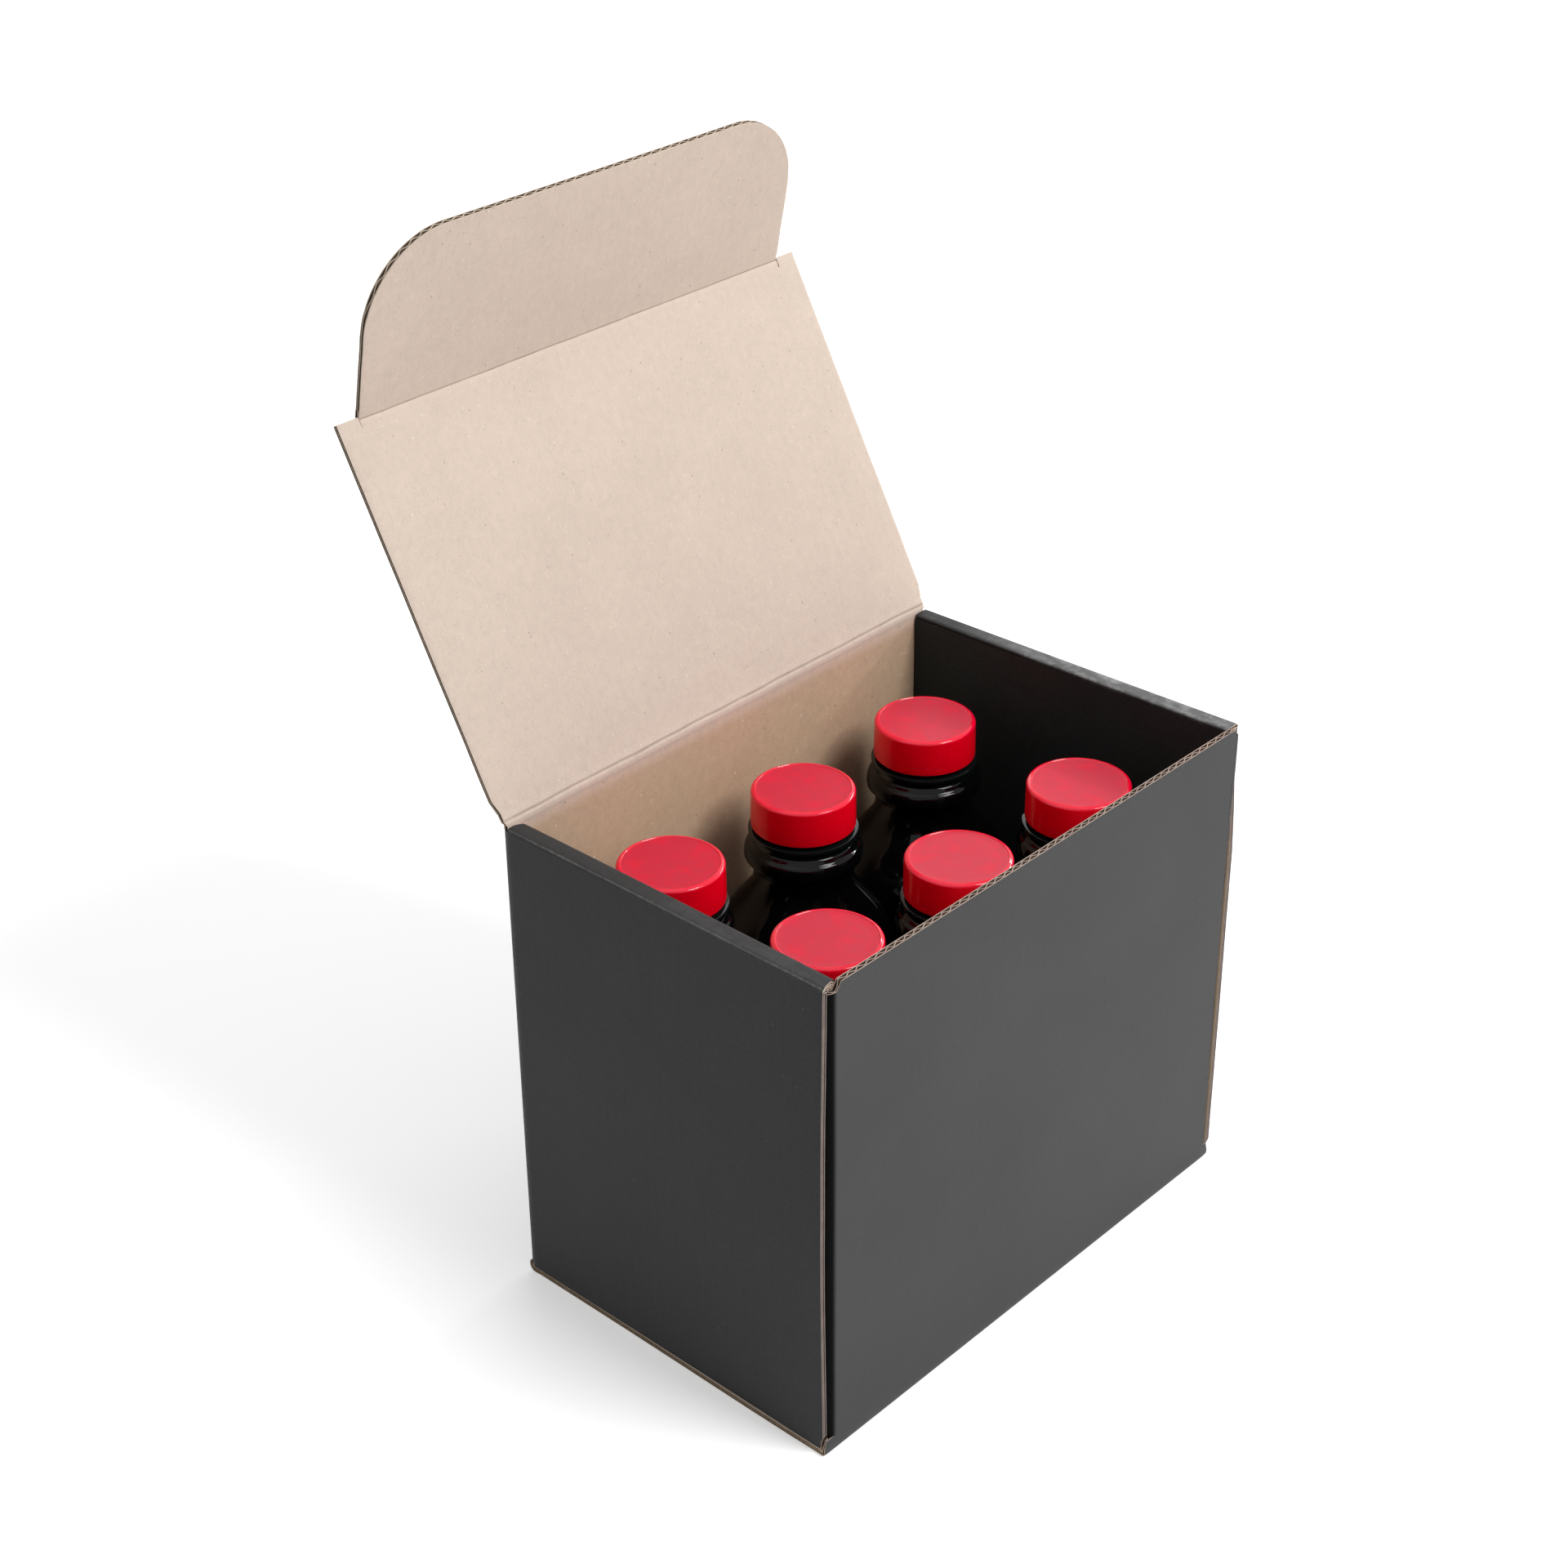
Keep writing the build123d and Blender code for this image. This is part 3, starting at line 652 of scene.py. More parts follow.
class Board:
    """One panel, or a run of folded panels, of corrugated board.

    stations lists (across, start, end): at each place across the flutes, where the board starts
    and ends along them. place turns (across, along, offset) into a point. rows are the lengths
    along the flutes at which the sheets get points. wear gives the rubbing at (across, along), and
    where it is below 0 the painted shade; bow gives the swelling there. phase shifts the wave, and
    pinch is how much thinner the board is at its two outer edges.
    """

    def __init__(self, place, stations, rows, wear=None, bow=None, phase=0.0, pinch=0.12, seed=0.0):
        self.low_u, self.high_u = stations[0][0], stations[-1][0]
        edges = [edge for step in BESIDE_EDGE for edge in (self.low_u + step, self.high_u - step)]
        self.place = place
        self.stations = with_stations_at(stations, edges)
        self.rows = np.array(sorted(set(rows)), float)
        self.wear = wear or (lambda u, v: np.zeros_like(u))
        self.bow = bow or (lambda u, v: np.zeros_like(u))
        self.phase = phase
        self.pinch = pinch
        self.seed = seed

    def grid(self, step):
        table = np.array(refined(self.stations, step))
        across = np.repeat(table[:, :1], len(self.rows), axis=1)
        along = np.clip(self.rows[None, :], table[:, 1:2], table[:, 2:3])
        return across, along

    def point(self, across, along, offset):
        edge = np.maximum(np.minimum(across - self.low_u, self.high_u - across), 0)
        pinched = 1.0 - self.pinch * np.exp(-edge / PINCH_REACH)
        shake = tremor(along, self.seed) * 0.16 * MM * np.exp(-edge / SHAKE_REACH)
        return self.place(across, along, offset * pinched + shake + self.bow(across, along))

    def build(self, name, finishes):
        sizes = bpy.context.scene.ship_board
        half, liner, medium = sizes.thickness / 2, sizes.liner, sizes.medium
        mesh = bmesh.new()
        mesh.verts.layers.float.new("worn")
        coarse = self.grid(FACE_STEP)
        self.slab(mesh, *coarse, half - liner, half, (WAVY, PRINT))
        self.slab(mesh, *coarse, -half, liner - half, (KRAFT, WAVY))
        across, along = self.grid(sizes.pitch / 10)
        swing = half - liner - medium / 2 - CREST_GAP
        uneven = tremor(across * 0.9, self.seed + 2.0)
        wave = np.sin((across + uneven * 0.38 * MM) * (2 * math.pi / sizes.pitch) + self.phase)
        middle = swing * (0.94 + 0.12 * uneven) * wave
        self.slab(mesh, across, along, middle - medium / 2, middle + medium / 2, (WAVY, WAVY))
        return finished(mesh, name, finishes, sharp_angle=32.0)

    def slab(self, mesh, across, along, low, high, slots):
        """A sheet between two offsets; slots are the finishes of its low and high face."""
        worn = mesh.verts.layers.float["worn"]
        rubbed_and_shaded = self.wear(across, along)
        columns, lines = across.shape
        layers = []
        for offset in (low, high):
            points = np.stack(self.point(across, along, np.broadcast_to(offset, across.shape)), axis=-1)
            layer = [[mesh.verts.new(point) for point in column] for column in points]
            for i, j in np.ndindex(columns, lines):
                layer[i][j][worn] = rubbed_and_shaded[i, j]
            layers.append(layer)
        lower, upper = layers

        def face(corners, slot, flipped=False):
            made = mesh.faces.new(corners[::-1] if flipped else corners)
            made.material_index = slot
            made.smooth = True

        short = np.abs(np.diff(along, axis=1)) < SAME
        thin = np.diff(across, axis=0) < SAME
        for i in range(columns - 1):
            for j in range(lines - 1):
                if (short[i, j] and short[i + 1, j]) or thin[i, j]:
                    continue
                face((lower[i][j], lower[i][j + 1], lower[i + 1][j + 1], lower[i + 1][j]), slots[0])
                face((upper[i][j], upper[i + 1][j], upper[i + 1][j + 1], upper[i][j + 1]), slots[1])
            for j in (0, lines - 1):
                face((lower[i][j], lower[i + 1][j], upper[i + 1][j], upper[i][j]), EDGE, j > 0)
        for i in (0, columns - 1):
            for j in range(lines - 1):
                if not short[i, j]:
                    face((lower[i][j], upper[i][j], upper[i][j + 1], lower[i][j + 1]), EDGE, i > 0)


def finished(mesh, name, finishes, sharp_angle=40.0):
    """Turns a bmesh into an object of the scene with its finishes."""
    bmesh.ops.remove_doubles(mesh, verts=mesh.verts, dist=0.002 * MM)
    bmesh.ops.dissolve_degenerate(mesh, edges=mesh.edges, dist=0.001 * MM)
    bmesh.ops.recalc_face_normals(mesh, faces=mesh.faces)
    data = bpy.data.meshes.new(name)
    mesh.to_mesh(data)
    mesh.free()
    for finish in finishes:
        data.materials.append(finish)
    data.set_sharp_from_angle(angle=math.radians(sharp_angle))
    piece = bpy.data.objects.new(name, data)
    bpy.context.scene.collection.objects.link(piece)
    return piece


def join_carton(piece):
    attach(piece, "carton")
    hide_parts("carton")


def panel_bow(low_u, high_u, low_v, high_v, amount, skew=0.0):
    """A panel that swells by an amount in its middle and stays put along its edges."""

    def bow(u, v):
        a = np.clip((u - low_u) / (high_u - low_u), 0, 1)
        b = np.clip((v - low_v) / (high_v - low_v), 0, 1)
        return amount * (np.sin(math.pi * a) ** 1.5) * (np.sin(math.pi * b) ** 1.5) * (1 + skew * (a - 0.5))

    return bow


# Carton


class CartonPlaces:
    """The carton's main lines, from its solid and the board's sizes."""

    def __init__(self, sizes):
        board, self.half = sizes.thickness, sizes.thickness / 2
        self.half_floor = CARTON_HIGH[0]
        self.half_width = CARTON_HIGH[0] - sizes.ledge
        self.half_depth = CARTON_HIGH[1]
        self.height = CARTON_HIGH[2]
        self.back_top = self.height - 1.4 * MM
        self.front_half = self.half_width - board - sizes.gap
        self.inner_side = self.half_width - 3 * board - 2 * sizes.gap
        self.side_foot = board + sizes.gap
        self.layer_front = -self.half_depth + board + sizes.gap
        self.layer_back = self.half_depth - board - sizes.gap
        self.bend = sizes.fold + self.half


def swing_out(side, y, z):
    """How far a side panel stands out of true: its free front edge is pushed out by the corner flap."""
    flare = bpy.context.scene.ship_board.flare
    ahead = np.clip((CARTON_HIGH[1] - y) / (2 * CARTON_HIGH[1]), 0, 1)
    if side > 0:
        return flare * (0.66 + 0.40 * top_tuck(z)) * ahead**1.2
    high = np.clip(z / CARTON_HIGH[2], 0, 1)
    front, back = flare * (0.30 + 0.75 * np.sin(math.pi * high)), -0.40 * flare
    return back + (front - back) * ahead**1.4


def corner_drop(past):
    """How far the front panel's round top right corner has dropped, at a length past its crease."""
    radius, lead = 5.0 * MM, 4.0 * MM
    across = np.clip(past + lead, 0, radius)
    return radius - np.sqrt(radius**2 - across**2)


def top_tuck(z):
    """1 at the top right corner, where the front panel covers the side's edge, 0 further down."""
    start, reach = 150 * MM, 50 * MM
    return smooth((z - start) / reach)


def corner_push(z):
    """How far the front panel's right fold is pushed out, most at the top."""
    return 1.5 * MM * top_tuck(z)


class SHIPBOX_OT_front_and_floor(bpy.types.Operator):
    """Front panel, bottom and the foot of the back, one run of board with its flutes along it"""

    bl_idname = "shipbox.front_and_floor"
    bl_label = "Front and floor"

    def execute(self, context):
        sizes = context.scene.ship_board
        at = CartonPlaces(sizes)
        middle = at.half_depth - at.half
        line = Fold(
            [(-middle, at.height), (-middle, at.half), (middle, at.half), (middle, sizes.back_crease_foot)],
            [0.1 * MM, sizes.fold],
            outward=-1,
        )
        foot, flare = at.height - sizes.front_crease_foot, at.height - sizes.flare_foot
        cut = sizes.front_corner_cut
        crease = sizes.front_half - at.bend
        left = -sizes.front_half + sizes.left_roll
        outline = [(-at.half_floor, flare), (-sizes.front_half, foot), (left, foot), (left, cut)]
        outline.append((left + 2.4 * MM, 0.0))
        outline += [(crease + step, corner_drop(step)) for step in np.linspace(-4.0, 0.0, 7) * MM]
        outline += [(crease, foot), (sizes.front_half, foot), (at.half_floor, flare)]
        stations = [(u, start, line.length) for u, start in outline]

        narrowing = 2.4 * MM
        corner_start, corner_reach = 90 * MM, 25 * MM

        def place(u, v, w):
            """The floor narrows towards the back on the left; the front widens at its top right corner."""
            y, z = line.shift(v, w)
            behind = smooth((y + at.half_depth) / (2 * at.half_depth))
            narrowed = narrowing * np.clip(-u / at.half_floor, 0, 1) * behind
            widened = corner_push(z) * smooth((u - corner_start) / corner_reach)
            return u + narrowed + widened, y, z

        def wear(u, v):
            return line.wear(v) * 0.15

        rows = set(line.at) | {foot, flare, cut, 0.4 * MM, 2.0 * MM, 6.0 * MM}
        bow = panel_bow(-crease, crease, 0.0, at.height, sizes.bow, 0.3)
        board = Board(place, stations, rows, wear, bow, phase=2.4, pinch=0.18, seed=1.0)
        join_carton(board.build("front_and_floor", board_finishes(0, edge="rim_edge")))
        return {"FINISHED"}


class SHIPBOX_OT_back_and_sides(bpy.types.Operator):
    """Back panel with the two outer sides folded from it, flutes upright"""

    bl_idname = "shipbox.back_and_sides"
    bl_label = "Back and sides"

    def execute(self, context):
        sizes = context.scene.ship_board
        at = CartonPlaces(sizes)
        x, y = at.half_width - at.half, at.half_depth - at.half
        line = Fold([(-x, -at.half_depth), (-x, y), (x, y), (x, -at.half_depth)], [sizes.fold, sizes.fold])
        foot = sizes.back_crease_foot
        crest = at.height - at.half - sizes.crest
        corner = at.half_depth * 2 - at.bend
        turned = corner + sizes.fold * math.pi / 2
        half_outline = [
            (0.0, at.side_foot + sizes.toe_height, crest),
            (sizes.toe_depth, at.side_foot, crest),
            (corner, at.side_foot, crest),
            (corner, foot, crest),
            (turned, foot, at.back_top),
            (line.length / 2, foot, at.back_top),
        ]
        stations = half_outline + [(line.length - u, a, b) for u, a, b in reversed(half_outline[:-1])]
        tucked, tuck_length = sizes.thickness + 0.3 * MM, 12 * MM
        short_length = 30 * MM
        beside_start, beside_reach = 95 * MM, 23 * MM

        def place(u, v, w):
            """The sides swing out, and the right one's front edge is tucked in at the top."""
            across, depth = line.shift(u, w)
            tuck = np.clip((u - line.length + tuck_length) / tuck_length, 0, 1) * tucked * top_tuck(v)
            short = (1.5 - 0.9 * np.sin(math.pi * np.clip(v / at.height, 0, 1))) * MM
            drawn_in = tuck + np.clip(1 - u / short_length, 0, 1) * short
            out = np.where(across < 0, -swing_out(-1, depth, v), swing_out(1, depth, v))
            beside = smooth((np.abs(across) - beside_start) / beside_reach)
            return across + out * beside, depth + drawn_in, v

        side = panel_bow(0.0, corner, at.side_foot, crest, sizes.bow * 1.2, 0.4)
        back = panel_bow(turned, line.length - turned, 0.0, at.height, -sizes.bow * 0.6)

        def bow(u, v):
            near = np.minimum(u, line.length - u)
            return np.where(near < corner, side(near, v), np.where(near > turned, back(u, v), 0.0))

        def wear(u, v):
            return line.wear(u) * 0.5

        rows = {at.side_foot, at.side_foot + sizes.toe_height, at.back_top}
        rows |= set(np.linspace(foot, crest, 12)) | {crest - 0.4 * MM, crest - 1.0 * MM, crest - 3.5 * MM}
        stations = with_stations_at(refined(stations, 15 * MM), line.at)
        board = Board(place, stations, rows, wear, bow, seed=2.0)
        join_carton(board.build("back_and_sides", board_finishes(1, edge="rubbed_edge")))
        return {"FINISHED"}


class SHIPBOX_OT_roll_overs(bpy.types.Operator):
    """Strips along the tops of the sides and the inner sides that hang from them"""

    bl_idname = "shipbox.roll_overs"
    bl_label = "Roll-over sides"

    def execute(self, context):
        sizes = context.scene.ship_board
        at = CartonPlaces(sizes)
        outer, inner, top = at.half_width - at.half, at.inner_side + at.half, at.height - at.half
        line = Fold(
            [(outer, top - sizes.crest), (outer, top), (inner, top), (inner, sizes.tab_recess)],
            [sizes.crest * 0.999, sizes.crest],
            outward=-1,
            arc_steps=8,
        )
        outer_fold, inner_fold = line.fold_places
        narrowest, turned = line.at[line.folds[0][1]] * 0.8, line.at[line.folds[1][1]]
        hang = line.length - (at.side_foot - sizes.tab_recess)
        # Where the painted shade at the back of the right strip begins, and over what length it grows.
        back_shade_start, back_shade_reach = 20 * MM, 40 * MM
        rub = 0.06 * MM

        def reach(x):
            """Length along the line where it passes a given x on the strip."""
            on_strip = slice(line.folds[1][1] + 1)
            return float(np.interp(-x, -line.points[on_strip, 0], line.at[on_strip]))

        for side, name, front_cut, rounding in (
            (-1, "left", 1.5 * MM, sizes.strip_end),
            (1, "right", 2.6 * MM, sizes.right_strip_end),
        ):
            front = -at.half_depth + front_cut
            round_start = at.layer_back - rounding

            def place(u, v, w, side=side):
                x, z = line.shift(v, w)
                out = swing_out(side, u, at.height) * np.clip(z / at.height, 0, 1)
                return (x + out) * side, u, z

            def rubbed_and_shaded(u, v, side=side):
                """The outer fold is scuffed pale along a thin line; painted shade darkens the back of the
                right strip and the strip from its inner fold on.
                """
                pale = bump(v - outer_fold, rub) * (0.80 + 0.30 * tremor(u, 4.0))
                # Painted shade over the back of the right strip, which also takes away its scuffing there.
                back_shade = smooth((u - back_shade_start) / back_shade_reach) * (0.45 if side > 0 else 0.0)
                # Painted shade from the inner fold on.
                shaded = smooth((v - inner_fold + rub) / (2 * rub)) * 0.85
                return pale * (1 - back_shade) - np.maximum(back_shade, shaded)

            strip = [(front, 0.0, narrowest)]
            for step in range(1, 7):
                x, y = part_way((at.half_width, front), (at.front_half - at.bend, at.layer_front), step / 6)
                strip.append((y, 0.0, max(narrowest, reach(min(x, outer - sizes.crest)))))
            strip += [(at.layer_front, 0.0, turned), (round_start, 0.0, turned)]
            for sine, cosine in quarter(8):
                x = at.inner_side + rounding * (1 - cosine)
                strip.append((round_start + rounding * sine, 0.0, reach(max(x, inner + sizes.crest * 0.3))))
            rows = [v for v in line.at if v <= turned + SAME]
            board = Board(place, strip, rows, rubbed_and_shaded, seed=3.0 + side)
            join_carton(board.build("roll_over_" + name, board_finishes(1, name)))

            ends = [(at.layer_front, hang)]
            for middle in (-sizes.tab_offset, sizes.tab_offset):
                start, end = middle - sizes.tab_length / 2, middle + sizes.tab_length / 2
                ends += [(start, hang), (start, line.length), (end, line.length), (end, hang)]
            panel = [(y, turned, end) for y, end in ends + [(round_start, hang)]]
            for sine, cosine in quarter(6):
                panel.append((round_start + rounding * sine, turned + rounding * 0.8 * (1 - cosine), hang))
            rows = [v for v in line.at if v >= turned - SAME] + [hang]
            bow = panel_bow(at.layer_front, at.layer_back, turned, line.length, sizes.bow * 0.5)
            board = Board(place, panel, rows, None, bow, seed=5.0 + side)
            join_carton(board.build("inner_side_" + name, board_finishes(1, "inside")))
        return {"FINISHED"}


class SHIPBOX_OT_corner_flaps(bpy.types.Operator):
    """Corner flaps that turn back from the front panel, between the layers of the sides"""

    bl_idname = "shipbox.corner_flaps"
    bl_label = "Corner flaps"

    def execute(self, context):
        sizes = context.scene.ship_board
        at = CartonPlaces(sizes)
        foot = sizes.front_crease_foot
        front, far = at.half - at.half_depth, sizes.corner_flap - at.half_depth
        reach, inset = sizes.front_half - at.half, at.front_half - at.half
        left, right = sizes.front_half - sizes.left_roll, sizes.front_half - at.bend
        under_strip = at.height - sizes.thickness - sizes.gap
        for side, name, crease, run, radius in (
            (-1, "left", left, 7 * MM, reach - left),
            (1, "right", right, 4 * MM, sizes.fold),
        ):
            corners = [(crease, front), (reach, front), (reach, front + run), (inset, far)]
            line = Fold(corners, [radius * 0.999, 2.0 * MM], outward=-1, arc_steps=9)
            turned = line.at[line.folds[0][1]]
            rim = at.height - (sizes.front_corner_cut if side < 0 else 0.0)
            stations = []
            for step in range(7):
                t = step / 6
                drop = corner_drop(turned * t) if side > 0 else 0.3 * MM * t
                stations.append((turned * t, foot, rim - drop))
            stations += [(turned + 0.05 * MM, foot, under_strip), (line.length, foot, under_strip)]

            def place(u, v, w, line=line, side=side):
                x, y = line.shift(u, w)
                push = corner_push(v) if side > 0 else 0.0
                return (x + push * (y < far / 2)) * side, y, v

            def painted_fold_shade(u, v, turned=turned, side=side):
                """Painted shade: the swollen left fold is painted dark where it goes into the gap behind the
                side's edge, and the right fold less.
                """
                rate, depth = (4.5, 0.97) if side < 0 else (1.3, 0.5)
                return -np.clip(u / turned * rate, 0, 1) ** 0.75 * depth

            stations = with_stations_at(stations, line.at)
            rows = np.linspace(foot, rim, 12)
            board = Board(place, stations, rows, painted_fold_shade, phase=0.9, pinch=0.0, seed=7.0)
            join_carton(board.build("corner_flap_" + name, board_finishes(0, edge="rim_edge")))
        return {"FINISHED"}


# Lid and tuck flap


def lid_frame(lean, foot):
    """Directions of a panel that leans back: up its face, and out of its printed face."""
    up = Vector((0.0, math.sin(lean), math.cos(lean)))
    out = Vector((0.0, math.cos(lean), -math.sin(lean)))

    def place(u, v, w):
        return u, foot.y + up.y * v + out.y * w, foot.z + up.z * v + out.z * w

    return place


class SHIPBOX_OT_lid(bpy.types.Operator):
    """Lid panel between its two creases, kraft face forward"""

    bl_idname = "shipbox.lid"
    bl_label = "Lid"

    def execute(self, context):
        lid = context.scene.ship_lid
        end = (FLAP_CREASE - HINGE).length
        reach, top = lid.crease_reach, end + lid.shoulder_reach
        notch = lid.flap_half + 0.3 * MM
        outline = [
            (notch, reach, end - reach),
            (notch, reach, top),
            (lid.half_width - lid.foot_cut, reach, top),
            (lid.half_width, lid.foot_reach, top),
        ]

        def wear(u, v):
            return bump(v - end, 3 * MM) * 0.4

        rows = set(np.linspace(reach, end - reach, 11))
        rows |= {reach + 3 * MM, lid.foot_reach, end - reach - 3 * MM, top}
        bow = panel_bow(-lid.half_width, lid.half_width, 0.0, end, context.scene.ship_board.bow * 1.6)
        place = lid_frame(lid.lean, HINGE)
        board = Board(place, mirrored(outline), rows, wear, bow, phase=1.76, pinch=0.22, seed=8.0)
        piece = board.build("lid_panel", board_finishes(0))
        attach(piece, "lid")
        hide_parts("lid")
        return {"FINISHED"}


class SHIPBOX_OT_tuck_flap(bpy.types.Operator):
    """Tuck flap with its two large round corners and open flutes along its end"""

    bl_idname = "shipbox.tuck_flap"
    bl_label = "Tuck flap"

    def execute(self, context):
        lid = context.scene.ship_lid
        radius, reach = lid.flap_corner, lid.crease_reach
        corner = lid.flap_half - radius
        outline = [(corner, reach, lid.flap_length)]
        for sine, cosine in quarter(24):
            outline.append((corner + radius * sine, reach, lid.flap_length - radius + radius * cosine))
        rows = np.linspace(reach, lid.flap_length, 9)
        swell = -context.scene.ship_board.bow
        bow = panel_bow(-lid.flap_half, lid.flap_half, 0.0, lid.flap_length * 2, swell)
        place = lid_frame(lid.lean - lid.fold, FLAP_CREASE)
        board = Board(place, mirrored(outline), rows, None, bow, phase=1.9, pinch=0.2, seed=9.0)
        piece = board.build("tuck_flap_panel", board_finishes(0))
        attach(piece, "tuck_flap")
        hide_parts("tuck_flap")
        return {"FINISHED"}


class SHIPBOX_OT_creases(bpy.types.Operator):
    """Crushed board that bends between the back, the lid and the tuck flap"""

    bl_idname = "shipbox.creases"
    bl_label = "Creases"

    def execute(self, context):
        lid = context.scene.ship_lid
        at = CartonPlaces(context.scene.ship_board)
        reach, back = lid.crease_reach, at.half_depth - at.half
        hinge, crease = Vector(HINGE.yz), Vector(FLAP_CREASE.yz)
        up, flap_up = (Vector((math.sin(lean), math.cos(lean))) for lean in (lid.lean, lid.lean - lid.fold))
        runs = (
            (
                "lid_crease", "carton", "lid", 0.7 * MM, -1.5 * MM,
                [(back, at.back_top), (back, hinge[1] - 0.2 * MM), hinge + up * reach],
                at.half_width - at.bend + 0.6 * MM, lid.half_width - lid.foot_cut,
            ),
            (
                "flap_crease", "lid", "tuck_flap", 0.1 * MM, -1.6 * MM,
                [crease - up * reach, crease, crease + flap_up * reach],
                lid.flap_half, lid.flap_half,
            ),
        )
        crease_radius, groove_width, ridge_width = 2.2 * MM, 0.42 * MM, 1.1 * MM
        grow_start, grow_reach = 1.6 * MM, 2.2 * MM
        for name, lower, upper, groove, ridge, corners, low_half, high_half in runs:
            line = Fold(corners, [crease_radius], outward=-1, arc_steps=8)
            fold = line.fold_places[0]

            def hollow(u, v, fold=fold, groove=groove, ridge=ridge):
                """The scored groove and the swollen ridge beside it, from the lengths along the fold."""
                wander = fold + 0.22 * MM * tremor(u * 0.35, 6.0)
                return bump(v - wander - groove, groove_width), bump(v - wander - ridge, ridge_width)

            def place(u, v, w, line=line, fold=fold, hollow=hollow, low_half=low_half, high_half=high_half):
                deep, high = hollow(u, v)
                edge = np.sin(math.pi * np.clip(v / line.length, 0, 1)) ** 0.5
                y, z = line.shift(v, w + np.where(w < 0, (0.34 * deep - 0.16 * high) * MM * edge, 0.0))
                grow = low_half + (high_half - low_half) * smooth((v - fold + grow_start) / grow_reach)
                return u / high_half * grow, y, z

            # The ridge is scuffed pale; the groove is painted dark, which is painted shade.
            def wear(u, v, hollow=hollow):
                deep, high = hollow(u, v)
                return high * 0.5 - deep * (0.75 + 0.25 * tremor(u, 2.0))

            stations = refined([(-high_half, 0.0, line.length), (high_half, 0.0, line.length)], 4 * MM)
            rows = set(line.at) | set(np.arange(0.2 * MM, line.length, 0.25 * MM))
            board = Board(place, stations, rows, wear, phase=0.6, pinch=0.2, seed=11.0)
            piece = board.build(name, board_finishes(0))
            start, end = line.points[0], line.points[-1]
            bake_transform(piece, lower, upper, start=(0, *start), end=(0, *end))
            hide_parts("lid" if name == "lid_crease" else "tuck_flap")
        return {"FINISHED"}


# Bottles and caps


def lathe(profile, segments, slots=None):
    """A bmesh turned round the Z axis from (radius, height) points, open ends on the axis closed."""
    mesh = bmesh.new()
    turns = [2 * math.pi * k / segments for k in range(segments)]
    rings = []
    for radius, height in profile:
        spots = [(radius * math.cos(turn), radius * math.sin(turn), height) for turn in turns]
        rings.append([mesh.verts.new(spot) for spot in (spots if radius > CLOSE else [(0.0, 0.0, height)])])
    for index, (low, high) in enumerate(zip(rings, rings[1:])):
        for k in range(segments):
            n = (k + 1) % segments
            if len(low) == 1:
                around = (low[0], high[n], high[k])
            elif len(high) == 1:
                around = (low[k], low[n], high[0])
            else:
                around = (low[k], low[n], high[n], high[k])
            face = mesh.faces.new(around)
            face.smooth = True
            if slots:
                face.material_index = slots[index]
    return mesh


def bezier(count, *points):
    """Points along a curve from the first of four points to the last, without the first."""
    a, b, c, d = np.array(points, float)
    t = np.linspace(0, 1, count)[1:, None]
    return ((1 - t) ** 3 * a + 3 * (1 - t) ** 2 * t * b + 3 * (1 - t) * t**2 * c + t**3 * d).tolist()


def bottle_feet():
    """Where each bottle stands, from the solids."""
    feet = []
    for number in range(1, 7):
        low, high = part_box(f"bottle_{number}")
        feet.append(Vector(((low[0] + high[0]) / 2, (low[1] + high[1]) / 2, low[2])))
    return feet


def bottle_heights(sizes):
    """Heights where the body, shoulder, waist, rise and crown of the bulge, neck, ring and cap gap end."""
    parts = ("body", "shoulder", "waist", "bulge_rise", "bulge_crown", "neck", "ring", "cap_gap")
    return list(accumulate(getattr(sizes, part) for part in parts))


